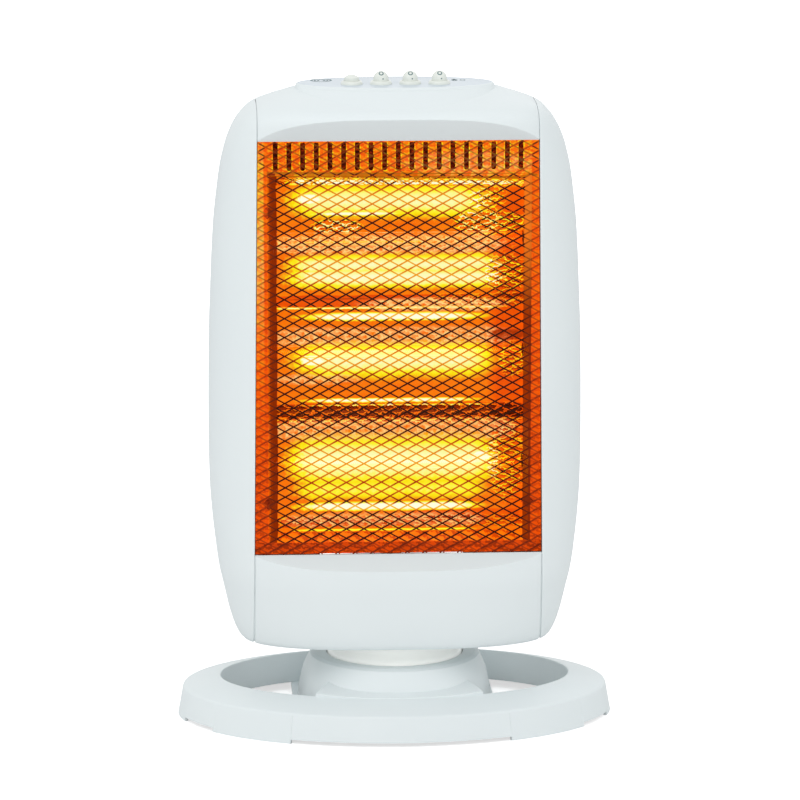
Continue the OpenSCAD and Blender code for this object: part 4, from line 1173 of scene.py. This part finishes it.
POD_TOP_Z = 490.0
POD_FOOT_Z = 474.0
POD_EDGE_R = 1.6
POD_LEAN = 0.9          # how far the top's front edge leans back, for each mm of its rounding
POD_WALL = 0.8
POD_HEART = (0, 0, 400)
BUTTON_HOLE_R = 6.0
BUTTON_HOLE_DEPTH = 1.9

# Of the pod's oval: the value at its foot, and the change from there to its top
POD_HALF_X = (76.5, -1.5)
POD_HALF_Y = (53.5, -17.5)
POD_MIDDLE_Y = (-16.0, 10.0)
POD_SQUARENESS = (2.9, -0.8)


def pod_ring(lift, grow=0.0, count=128):
    """The pod's oval at a share of its height: 1 at the top, 0 at the foot."""
    half_x, half_y, middle, squareness = [
        foot + change * lift for foot, change in (POD_HALF_X, POD_HALF_Y, POD_MIDDLE_Y, POD_SQUARENESS)]
    z = POD_FOOT_Z + (POD_TOP_Z - POD_FOOT_Z) * lift
    ring = []
    for i in range(count):
        c, s = (wave(2 * math.pi * i / count) for wave in (math.cos, math.sin))
        ring.append(((half_x + grow) * math.copysign(abs(c) ** (2 / squareness), c),
                     middle + (half_y + grow) * math.copysign(abs(s) ** (2 / squareness), s), z))
    return ring


def control_pod():
    """The oval pod, with a flat top that has a hole for each button."""
    rings = [pod_ring(lift) for lift in even(0.0, 0.9, 9)]
    for a in even(0, math.pi / 2, 6):
        drop = POD_EDGE_R * (1 - math.sin(a))
        rings.append([(x, y - (POD_LEAN * drop if y < sum(POD_MIDDLE_Y) else 0), POD_TOP_Z - drop)
                      for x, y, z in pod_ring(1.0, -POD_EDGE_R * (1 - math.cos(a)))])
    piece = add_piece("control_pod", grid(rings, wrap_columns=True), [white_plastic, panel_plastic],
                      "head", ["control_panel"])
    close_pod_top(piece)
    for face in piece.data.polygons:
        face.material_index = int(face.center.z > (POD_TOP_Z - 0.01) * MM)
    face_outward(piece, POD_HEART)
    smooth(piece.data, 40)
    add_wall(piece, POD_WALL)


def close_pod_top(piece):
    """Fills the pod's open top, up to round holes with an edge turned down."""
    work = bmesh.new()
    work.from_mesh(piece.data)
    top_z = (POD_TOP_Z - 0.1) * MM
    edges = [e for e in work.edges if len(e.link_faces) == 1 and e.verts[0].co.z > top_z]
    holes = []
    for x in BUTTON_X:
        circle = [on_oval(a, BUTTON_HOLE_R, BUTTON_HOLE_R) for a in range(0, 360, 8)]
        ring = [work.verts.new(((x + aside) * MM, (BUTTON_Y + back) * MM, POD_TOP_Z * MM))
                for aside, back in circle]
        holes += [work.edges.new((ring[i], ring[(i + 1) % len(ring)])) for i in range(len(ring))]
    bmesh.ops.triangle_fill(work, edges=edges + holes, use_beauty=True, use_dissolve=False)
    for vert in bmesh.ops.extrude_edge_only(work, edges=holes)["geom"]:
        if isinstance(vert, bmesh.types.BMVert):
            vert.co.z -= BUTTON_HOLE_DEPTH * MM
    bmesh.ops.recalc_face_normals(work, faces=work.faces)
    work.to_mesh(piece.data)
    work.free()


def freeze(piece):
    """Applies the modifiers that a piece has so far."""
    graph = bpy.context.evaluated_depsgraph_get()
    mesh = bpy.data.meshes.new_from_object(piece.evaluated_get(graph))
    piece.modifiers.clear()
    old = piece.data
    piece.data = mesh
    bpy.data.meshes.remove(old)


control_pod()

INK_LIFT = 0.04         # height of the printed marks over the panel


def ribbon(points, width):
    """A flat printed line through (x, y) points on the panel."""
    verts, faces = [], []
    for i, point in enumerate(points):
        ahead = Vector(points[min(i + 1, len(points) - 1)]) - Vector(points[max(i - 1, 0)])
        aside = Vector((-ahead.y, ahead.x)).normalized() * width / 2
        for s in (-1, 1):
            verts.append((point[0] + s * aside.x, point[1] + s * aside.y, POD_TOP_Z + INK_LIFT))
    for i in range(len(points) - 1):
        faces.append((2 * i, 2 * i + 1, 2 * i + 3, 2 * i + 2))
    return verts, faces


def arc(middle, across_r, deep_r, start, end, count=20):
    """Points of an oval from one angle to another, in degrees."""
    return [tuple(m + o for m, o in zip(middle, on_oval(a, across_r, deep_r)))
            for a in even(start, end, count)]


def panel_marks():
    """Generic signs: a swing sign by the low button, and a power sign at the other end."""
    swing_sign = [(arc((-55.1, 6.7), 7.4, 8.6, 0, 360, 40), 1.7)]
    swing_sign += [(arc((x, 6.4), 1.5, 3.4, 0, 360), 1.3) for x in (-58.6, -51.6)]
    swing_sign.append((arc((-55.1, 4.0), 2.2, 6.6, 40, 140), 1.2))
    power_sign = [(arc((45.6, 2.7), 1.4, 3.6, 0, 360), 2.0), ([(45.6, 2.8), (45.6, 9.0)], 1.6),
                  (arc((51.8, 2.6), 1.8, 3.4, 0, 360), 0.8)]
    marks = joined([ribbon(points, width) for points, width in swing_sign + power_sign])
    add_piece("panel_marks", marks, printed_ink, "head")


def button_collars():
    """The flat rounded rings round the buttons, as (radius, height over the panel)."""
    section = [(BUTTON_HOLE_R, 0), (8.3, 0), (8.3, 0.5), (7.9, 1.6), (7.4, 2.3), (6.9, 2.6),
               (6.5, 2.6), (6.15, 2.4), (BUTTON_HOLE_R, 2.0)]
    profile = [(radius, POD_TOP_Z + rise) for radius, rise in section]
    rings = [turned(profile, (x, BUTTON_Y), 64, closed=True) for x in BUTTON_X]
    add_piece("collars", joined(rings), cap_plastic, "head", ["button_collars"])


OSCILLATION_RISE = 7.4
OSCILLATION_DOME_R = 7.695
HEAT_RISE = 10.0
HEAT_DOME_R = 5.71
BUTTON_R = 5.7
STEM_R = 2.4
STEM_FOOT_Z = 471
BRIM_R = 7.0
BRIM_LOW = 486
BRIM_HIGH = 487.5


def push_button(name, node_name, x, body, rise, dome_r, finish):
    """A button with a domed top that stands above the panel by its rise."""
    top = POD_TOP_Z + rise
    shoulder = top - (dome_r - math.sqrt(dome_r * dome_r - BUTTON_R * BUTTON_R))
    span = math.asin(BUTTON_R / dome_r)
    dome = [(dome_r * math.sin(a), top - dome_r + dome_r * math.cos(a)) for a in even(span, 0, 16)]
    profile = [(0, STEM_FOOT_Z), (STEM_R, STEM_FOOT_Z), (STEM_R, BRIM_LOW), (BRIM_R, BRIM_LOW),
               (BRIM_R, BRIM_HIGH), (BUTTON_R, BRIM_HIGH), (BUTTON_R, shoulder)]
    profile += dome[1:-1] + [(0, top)]
    add_piece(name, turned(profile, (x, BUTTON_Y), 64), finish, body, [node_name],
              centre=(x, BUTTON_Y, top))


panel_marks()
button_collars()
push_button("oscillation_cap", "oscillation_button", BUTTON_X[0], "oscillation_push",
            OSCILLATION_RISE, OSCILLATION_DOME_R, cap_plastic)
for number in (1, 2, 3):
    push_button(f"heat_cap_{number}", f"heat_button_{number}", BUTTON_X[number],
                f"heat_push_{number}", HEAT_RISE, HEAT_DOME_R, printed_cap)

# ------------------------------------------------------------------ base

def ring_section(low):
    """The ring's section, as (mm in from its outer edge, height), with its wall ending at low."""
    line = [(0.0, low), (4.0, 22.5), (33.0, 30.0), (33.0, 6.0), (30.6, 6.0), (30.6, 26.9), (6.4, 20.1),
            (2.4, low)]
    return fillets(line, {1: 1.8, 2: 1.2})


def apart(a, b):
    """Degrees between two directions."""
    return abs((a - b + 180) % 360 - 180)


def base_ring():
    """The oval ring, with an upright step in its lower edge at each end of a foot."""
    half_step = 0.1
    angles = set(float(a) for a in range(0, 360, 3))
    for foot in FOOT_ANGLES:
        for end in (foot - FOOT_HALF_ANGLE, foot + FOOT_HALF_ANGLE):
            angles = {a for a in angles if apart(a, end) > 0.5}
            angles |= {(end - half_step) % 360, (end + half_step) % 360}
    rings = []
    for angle in sorted(angles):
        on_foot = any(apart(angle, foot) < FOOT_HALF_ANGLE for foot in FOOT_ANGLES)
        rings.append([(*on_oval(angle, BASE_HALF_W - inset, BASE_HALF_D - inset), z)
                      for inset, z in ring_section(0.0 if on_foot else FOOT_H)])
    add_piece("base_ring", ring_solid(rings, wrap=True), white_plastic, "base",
              ["base_moulding"], sharp=28)


DRUM_RIM_Z = 46.5
DRUM_FOOT_Z = 15.0


def squared(x, y, z):
    """A point of the drum's outer wall, which is round at its rim and squarer towards its foot."""
    share = min(1.0, max(0.0, (DRUM_RIM_Z - z) / (DRUM_RIM_Z - DRUM_FOOT_Z)))
    power = 2.0 + 1.2 * share
    radius = math.hypot(x, y)
    reach = ((abs(x) / radius) ** power + (abs(y) / radius) ** power) ** (-1 / power)
    return (x * reach, y * reach, z)


def pedestal_drum():
    """The drum under the turntable, with a bore for the hub."""
    wall = [(75, 6), (74, 16), (72.6, 24.7), (70.8, 33.5), (68.2, 40), (65.5, DRUM_RIM_Z)]
    line = wall + [(62, 48), (53.0, 48), (53.0, 43), (47.2, 43), (47.2, 39), (11.05, 39), (11.05, 36),
                   (58, 36), (66, 28), (68.6, 6)]
    line = fillets(line, {6: 0.9, 7: 0.5})
    segments = 144
    verts, faces = turned(line, segments=segments, closed=True)
    on_wall = len(wall) * segments
    verts = [squared(*v) for v in verts[:on_wall]] + verts[on_wall:]
    add_piece("pedestal_drum", (verts, faces), white_plastic, "base",
              ["base_moulding"], sharp=24)


def ring_inside():
    """A tall oval solid that fills the ring and reaches a little into its inner wall."""
    inset = 31.4        # in the thickness of the ring's inner wall
    rings = [[(*on_oval(a, BASE_HALF_W - inset, BASE_HALF_D - inset), z) for a in range(0, 360, 3)]
             for z in (0.0, 50.0)]
    verts, faces = grid(rings, wrap_columns=True)
    count = len(rings[0])
    faces += [tuple(range(count)), tuple(range(count, 2 * count))]
    mesh = new_mesh("cutter", verts, faces)
    tidy_normals(mesh)
    return new_object("cutter", mesh)


def pedestal_slope(name, corners):
    """A slope of the pedestal, as the hull of its corners, cut by the ring's oval."""
    work = bmesh.new()
    for corner in corners:
        work.verts.new([c * MM for c in corner])
    bmesh.ops.convex_hull(work, input=work.verts)
    bmesh.ops.dissolve_limit(work, angle_limit=0.01, verts=work.verts, edges=work.edges)
    mesh = bpy.data.meshes.new(name)
    work.to_mesh(mesh)
    work.free()
    piece = new_object(name, mesh)
    cutter = ring_inside()
    keep = piece.modifiers.new("inside_ring", "BOOLEAN")
    keep.operation = "INTERSECT"
    keep.object = cutter
    freeze(piece)
    bpy.data.objects.remove(cutter)
    piece.data.materials.clear()
    piece.data.materials.append(white_plastic)
    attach(piece, "base")
    round_edges(piece, "edges", 0.6, 3, 20).harden_normals = True
    smooth(piece.data, 20)


def pedestal_ramps():
    """The ramps in front of the drum and behind it."""
    near_x, near_y, near_z = 52.0, 48.0, 36.7       # where a ramp leaves the drum
    far_y, far_z, foot_z = 85.1, 29.0, 6.0
    for name, facing, far_x in (("pedestal_ramp_front", -1, 71.0), ("pedestal_ramp_back", 1, 57.0)):
        half = [(near_x, near_y, near_z), (far_x, far_y, far_z), (far_x, far_y, far_z - 1.0),
                (far_x + 4.0, far_y, foot_z), (near_x, near_y, foot_z)]
        pedestal_slope(name, [(side * x, facing * y, z) for side in (-1, 1) for x, y, z in half])


def turntable():
    """The cream disc that the head stands on, with its hub."""
    line = [(6, 30.2), (9, 30.2), (9, 46), (52, 46), (52, 49.2), (51.4, 50.4), (50, 51.7), (47.9, 53.4),
            (46.3, 55.6), (45.0, 58.4), (44.0, 61.4), (43, 64), (40, 64), (40, 51.5), (6, 51.5)]
    add_piece("turntable_disc", turned(line, segments=144, closed=True), turntable_plastic, "head",
              ["turntable"], sharp=38)


base_ring()
pedestal_drum()
pedestal_ramps()
turntable()

# ------------------------------------------------------------------ heating parts

TROUGH_H = 86.0
TROUGH_D = 27.0
TROUGH_BACK_Y = 12.6
SHEET_T = 0.6
TRAY_BACK = 93.7
TROUGH_GAP = 0.3        # between neighbouring troughs
TUBE_R = 5.0
TUBE_WALL = 0.9
WIRE_R = 0.28
COIL_R = 1.0
COIL_HALF = 90
COIL_TURNS = 110


def reflector(number):
    """A trough behind one tube, with the section of a parabola."""
    rings = []
    for x in even(-TRAY_BACK + 1, TRAY_BACK - 1, 24):
        front, behind = [], []
        for s in even(-1, 1, 48):
            z = TUBE_Z[number - 1] + (TROUGH_H - TROUGH_GAP) / 2 * s
            front.append((x, -TROUGH_BACK_Y - SHEET_T - TROUGH_D * s * s, z))
            behind.append((x, -TROUGH_BACK_Y - TROUGH_D * s * s, z))
        rings.append(front + behind[::-1])
    add_piece(f"trough_{number}", ring_solid(rings), trough_sheet, "head",
              [f"reflector_{number}"])


def along_x(profile, y, z, segments=48):
    """Profile of (radius, x) turned round an axis along X."""
    verts, faces = turned(profile, segments=segments)
    return [(h, y + a, z + b) for a, b, h in verts], faces


def quartz_material():
    """Clear glass with a little haze, and a faint painted glow from the tray's painted light."""
    material, g, shader, place = new_material("quartz_glass")
    haze = g.noise(place, 220.0, 3.0, 0.6)
    g.fill(shader, {
        "Transmission Weight": 1.0, "IOR": 1.04, "Emission Strength": 0.05,
        "Base Color": g.mix(haze, (1.0, 0.97, 0.90), (1.0, 0.93, 0.82)),
        "Roughness": g.times(haze, 0.06),
        "Emission Color": kept_inside(g, tray_light(g, place, 0.0)["Colour"])})
    return material


def filament_material():
    """Dark wire with the light of the glow behind it."""
    material, g, shader, place = new_material("filament_wire")
    hot = g.noise(place, 160.0)
    g.fill(shader, {
        "Emission Strength": 1.0, "Base Color": g.mix(hot, (0.03, 0.02, 0.01), (0.06, 0.04, 0.02)),
        "Roughness": g.scaled(hot, 0.2, 0.3),
        "Emission Color": kept_inside(g, tray_light(g, place, 0.06)["Colour"])})
    return material


quartz = quartz_material()
filament_finish = filament_material()


def tube_glass(number):
    """The quartz tube, open at both ends and drawn in a little there."""
    end = [(TUBE_R - 1.1, 99), (TUBE_R - 0.4, 98.6), (TUBE_R, 97.5)]
    outer = [(r, -x) for r, x in end] + [(TUBE_R, x) for x in even(-92, 92, 12)] + end[::-1]
    inner = [(r - TUBE_WALL, x) for r, x in reversed(outer)]
    count = 48
    verts, faces = along_x(outer + inner, TUBE_Y, TUBE_Z[number - 1], count)
    last = len(verts) - count
    faces += [(i, (i + 1) % count, last + (i + 1) % count, last + i) for i in range(count)]
    add_piece(f"tube_glass_{number}", (verts, faces), quartz, "head",
              [f"quartz_tube_{number}"])


def filament(number):
    """A coiled wire, with straight tails that end in the caps."""
    per_turn, sides = 10, 5
    steps = COIL_TURNS * per_turn
    path = [(-98.5, 0.0, 0.0)]
    for i in range(steps + 1):
        a = 2 * math.pi * i / per_turn
        path.append((-COIL_HALF + 2 * COIL_HALF * i / steps, COIL_R * math.sin(a), COIL_R * math.cos(a)))
    path.append((98.5, 0.0, 0.0))
    rings = []
    for i, (x, y, z) in enumerate(path):
        ahead = Vector(path[min(i + 1, len(path) - 1)]) - Vector(path[max(i - 1, 0)])
        ahead.normalize()
        up = Vector((0.0, 0.0, 1.0)) if abs(ahead.z) < 0.9 else Vector((0.0, 1.0, 0.0))
        u = ahead.cross(up).normalized()
        v = ahead.cross(u)
        middle = Vector((x, TUBE_Y + y, TUBE_Z[number - 1] + z))
        spokes = [2 * math.pi * k / sides for k in range(sides)]
        rings.append([tuple(middle + (u * math.cos(a) + v * math.sin(a)) * WIRE_R) for a in spokes])
    verts, faces = grid(rings, wrap_columns=True)
    faces += [tuple(range(sides)), tuple(range(len(verts) - sides, len(verts)))]
    add_piece(f"coil_{number}", (verts, faces), filament_finish, "head",
              [f"filament_{number}"], sharp=60)


for number in (1, 2, 3):
    reflector(number)
    tube_glass(number)
    filament(number)


BAFFLE_Y = -47.0
BAFFLE_HALF = 103
BAFFLE_LOW = 427.5
BAFFLE_HIGH = 451.5
BEHIND_BAFFLE = (0, 100, 440)


def vent_baffle():
    """The duct wall behind the slots above the tray's mouth; its dark brown there is painted shade, a dim
    painted glow.
    """
    heights = even(BAFFLE_LOW, BAFFLE_HIGH, 6)
    rows = [[(x, BAFFLE_Y, z) for z in heights] for x in even(-BAFFLE_HALF, BAFFLE_HALF, 40)]
    piece = add_piece("vent_baffle", grid(rows), vent_back, "head")
    face_outward(piece, BEHIND_BAFFLE)
    add_wall(piece, SHEET_T)


vent_baffle()

SLOT_COUNT = 19
SLOT_PITCH = 10.2
SLOT_W = 3.7
SLOT_LOW = 429.8
SLOT_HIGH = 451.4
FLANGE_Y = -54.0
SLOT_R = SLOT_W / 2
# Section of a slot's rim: mm away from the slot's edge, and mm behind the flange's face
RIM_SECTION = ((0.0, 0.3), (0.0, -0.35), (0.6, -0.35), (0.8, 0.3))


def slot_rims():
    """The raised edge that the punch left round each slot, whose foot is round."""
    foot_z = SLOT_LOW + SLOT_R
    rims = []
    for number in range(SLOT_COUNT):
        x = (number - (SLOT_COUNT - 1) / 2) * SLOT_PITCH
        path = [(-SLOT_R, SLOT_HIGH - foot_z)]
        path += [on_oval(a, SLOT_R, SLOT_R) for a in even(180, 360, 10)]
        path.append((SLOT_R, SLOT_HIGH - foot_z))
        rings = []
        for aside, up in path:
            out_x, out_z = aside / SLOT_R, min(0.0, up / SLOT_R)
            rings.append([(x + aside + away * out_x, FLANGE_Y + behind, foot_z + up + away * out_z)
                          for away, behind in RIM_SECTION])
        rims.append(ring_solid(rings))
    add_piece("slot_rims", joined(rims), rim_sheet, "head")


slot_rims()

# ------------------------------------------------------------------ expanded metal grille

# Painted light on the strands, by the heat behind them: painted shade where it is low, painted glow where
# it is high
STRAND_COLOURS = [
    (0.00, linear(34, 3, 0)), (0.50, linear(48, 5, 0)), (0.62, linear(84, 12, 1)),
    (0.74, linear(166, 48, 4)), (0.83, linear(214, 100, 8)), (0.92, linear(236, 150, 24)),
    (1.00, linear(244, 182, 52)),
]


def strand_material(name, extra_heat):
    """Dark wire with a painted glow, bright only where it stands before the hottest places."""
    material, g, shader, place = dark_sheet(name, (0.02, 0.006, 0.003), 0.5, 900.0, 0.2, 0.06)
    glow = tray_light(g, place, extra_heat)
    # before the flange it takes the flange's painted colour, with painted shade that is darkest in front
    # of a slot
    x, y, z = g.parts(place)
    from_slot = g.math("PINGPONG", g.times(x, PER_M / SLOT_PITCH), 0.5)
    slot_shade = g.step(from_slot, 1.2 * SLOT_R / SLOT_PITCH, 0.9 * SLOT_R / SLOT_PITCH)
    slot_shade = g.times(slot_shade, g.step(z, SLOT_LOW * MM, (SLOT_LOW + 2.0) * MM))
    as_flange = g.mix(g.scaled(slot_shade, 0.34, 0.5), glow["Colour"], BLACK)
    colour = g.mix(glow["Flange"], g.ramp(glow["Heat"], STRAND_COLOURS), as_flange)
    g.put(shader.inputs["Emission Color"], kept_inside(g, colour))
    return material


def clip_to_window(slope, offset):
    """The x range in which the line z = slope x + offset lies in the window."""
    low, high = -200.0, 200.0
    lean = (SEAM_HIGH - SEAM_LOW) / HEAD_H
    at_seam = SEAM_LOW - SEAM_GAP + lean * (offset - HEAD_Z0)
    # each test is factor x <= limit: at the two seams, at the window's top and at its foot
    tests = [(s - lean * slope, at_seam) for s in (-1, 1)]
    tests += [(slope, WINDOW_Z1 - SEAM_GAP - offset), (-slope, offset - WINDOW_Z0 - SEAM_GAP)]
    for factor, limit in tests:
        if factor > 0:
            high = min(high, limit / factor)
        else:
            low = max(low, limit / factor)
    return low, high


def strand(slope, offset, low, high, half_h, y_front, thick):
    """A strand of the mesh along the line z = slope x + offset, with a narrower back."""
    crossings = [i * CELL_W / 2 for i in range(-20, 21)]
    rings = []
    for x in [low] + [x for x in crossings if low + 1 < x < high - 1] + [high]:
        z = slope * x + offset
        rings.append([(x, y_front, z - half_h), (x, y_front, z + half_h),
                      (x, y_front + thick, z + half_h * 0.6), (x, y_front + thick, z - half_h * 0.6)])
    return ring_solid(rings)


def grille():
    """The expanded mesh: strands that rise to the right, and behind them strands that fall."""
    slope = CELL_H / CELL_W
    first = WINDOW_Z0 - SEAM_LOW * slope
    count = int((WINDOW_Z1 - WINDOW_Z0 + 2 * SEAM_LOW * slope) / CELL_H) + 2
    strands, marks = [], []
    for mark, lean, half_h, y_front, thick in ((0, 1, 0.68, -59.0, 0.9), (1, -1, 0.62, -58.4, 0.5)):
        for k in range(count):
            offset = first + k * CELL_H
            low, high = clip_to_window(lean * slope, offset)
            if high - low >= 2.0:
                strands.append(strand(lean * slope, offset, low, high, half_h, y_front, thick))
                marks += [mark] * len(strands[-1][1])
    rising = strand_material("grille_strand_rising", -0.02)
    falling = strand_material("grille_strand_falling", 0.02)
    add_piece("grille_mesh", joined(strands), [rising, falling], "head", ["grille"],
              sharp=30, mark=marks)


grille()

# ------------------------------------------------------------------ finishes of the CAD nodes that stay

NODE_FINISHES = {
    "base_underplate": white_plastic, "underplate_screws": steel, "bearing_ring": nylon,
    "swivel_bush": nylon, "oscillation_motor": steel, "motor_screws": steel,
    "tip_switch": dark_plastic, "tip_plunger": dark_plastic, "cord_gland": dark_plastic,
    "crank_arm": nylon, "swivel_retainer": steel, "retainer_screws": steel,
    "turntable_screws": steel, "head_floor": white_plastic, "rear_screws": steel,
    "heat_tray": tray_sheet, "tray_clips": clip_sheet, "lamp_bracket_left": steel,
    "lamp_bracket_right": steel, "thermal_cutout": dark_plastic, "terminal_block": nylon,
    "switch_bank": dark_plastic, "end_caps_1": ceramic, "end_caps_2": ceramic, "end_caps_3": ceramic,
}
for node_name, finish in NODE_FINISHES.items():
    node = frame["nodes"][node_name]
    node.data.materials.clear()
    node.data.materials.append(finish)

# ------------------------------------------------------------------ floor, light and camera

FLOOR_HALF = 9000
FLOOR_DROP = 0.0002     # metres under the feet
WHITE = (1.0, 1.0, 1.0)
LIGHTS_AIM = Vector((0.0, 0.0, 0.25))
FOCAL_PX = 4660.9       # the photo's focal length in pixels, and the photo's width
PHOTO_PX = 800
SENSOR_W = 36.0
CAMERA_PLACE = (-0.18927, -3.49488, 0.9361)
CAMERA_DOWN = 11.18     # degrees below the level, and to the right
CAMERA_RIGHT = 3.17


def white_behind(graph):
    """1 where a ray should see the plain white surroundings."""
    path = graph.node("ShaderNodeLightPath").outputs
    return graph.most(path["Is Camera Ray"], path["Is Glossy Ray"], path["Is Transmission Ray"])


def floor():
    """White paper, a little grey close around the base."""
    corners = [(x * FLOOR_HALF, y * FLOOR_HALF, 0) for x, y in ((-1, -1), (1, -1), (1, 1), (-1, 1))]
    mesh = new_mesh("floor", corners, [(0, 1, 2, 3)])
    piece = new_object("floor", mesh)
    piece.location.z = -FLOOR_DROP
    material, g, shader, place = new_material("floor_paper")
    path = g.node("ShaderNodeLightPath")
    reach = g.node("ShaderNodeVectorMath", operation="LENGTH")
    g.put(reach.inputs[0], place)
    white = g.mix(g.step(reach.outputs["Value"], 0.24, 0.9), (0.62, 0.62, 0.62), WHITE)
    g.fill(shader, {
        "Base Color": g.mix(g.noise(place, 3.0), (0.86, 0.86, 0.86), (0.88, 0.88, 0.88)),
        "Roughness": 0.9, "Specular IOR Level": 0.0, "Emission Strength": 1.0,
        "Emission Color": g.mix(path.outputs["Is Camera Ray"], BLACK, white)})
    mesh.materials.append(material)


def world():
    """White where it is seen, and a little dimmer as a light on the heater."""
    made = bpy.data.worlds.new("studio")
    bpy.context.scene.world = made
    made.use_nodes = True
    g = Graph(made.node_tree)
    g.fill(made.node_tree.nodes["Background"], {
        "Color": g.mix(white_behind(g), (0.80, 0.806, 0.81), WHITE), "Strength": 1.0})


def soft_light(name, place, size, power):
    """A lamp with a wide face, turned to the middle of the heater."""
    lamp = bpy.data.lights.new(name, "AREA")
    lamp.shape = "RECTANGLE"
    lamp.size, lamp.size_y = size
    lamp.energy = power
    piece = new_object(name, lamp)
    piece.location = place
    piece.rotation_euler = (LIGHTS_AIM - Vector(place)).to_track_quat("-Z", "Y").to_euler()


def camera():
    """The photo's own view."""
    made = bpy.data.cameras.new("photo_view")
    made.sensor_width = SENSOR_W
    made.lens = FOCAL_PX / PHOTO_PX * SENSOR_W
    made.clip_start = 0.05
    made.clip_end = 50.0
    piece = new_object("photo_view", made)
    piece.location = CAMERA_PLACE
    piece.rotation_euler = (math.radians(90 - CAMERA_DOWN), 0.0, math.radians(-CAMERA_RIGHT))
    bpy.context.scene.camera = piece


floor()
world()
soft_light("key", (-1.6, -2.2, 1.9), (1.6, 1.6), 6.6)
soft_light("front", (-0.2, -3.0, 0.7), (1.8, 0.8), 5.0)
soft_light("fill", (2.0, -1.6, 1.2), (1.4, 1.4), 2.6)
soft_light("top", (-0.5, -1.3, 2.5), (1.8, 1.8), 9.6)
soft_light("back", (0.6, 2.4, 1.6), (1.6, 1.6), 2.5)
camera()
bpy.context.scene.view_settings.view_transform = "Standard"
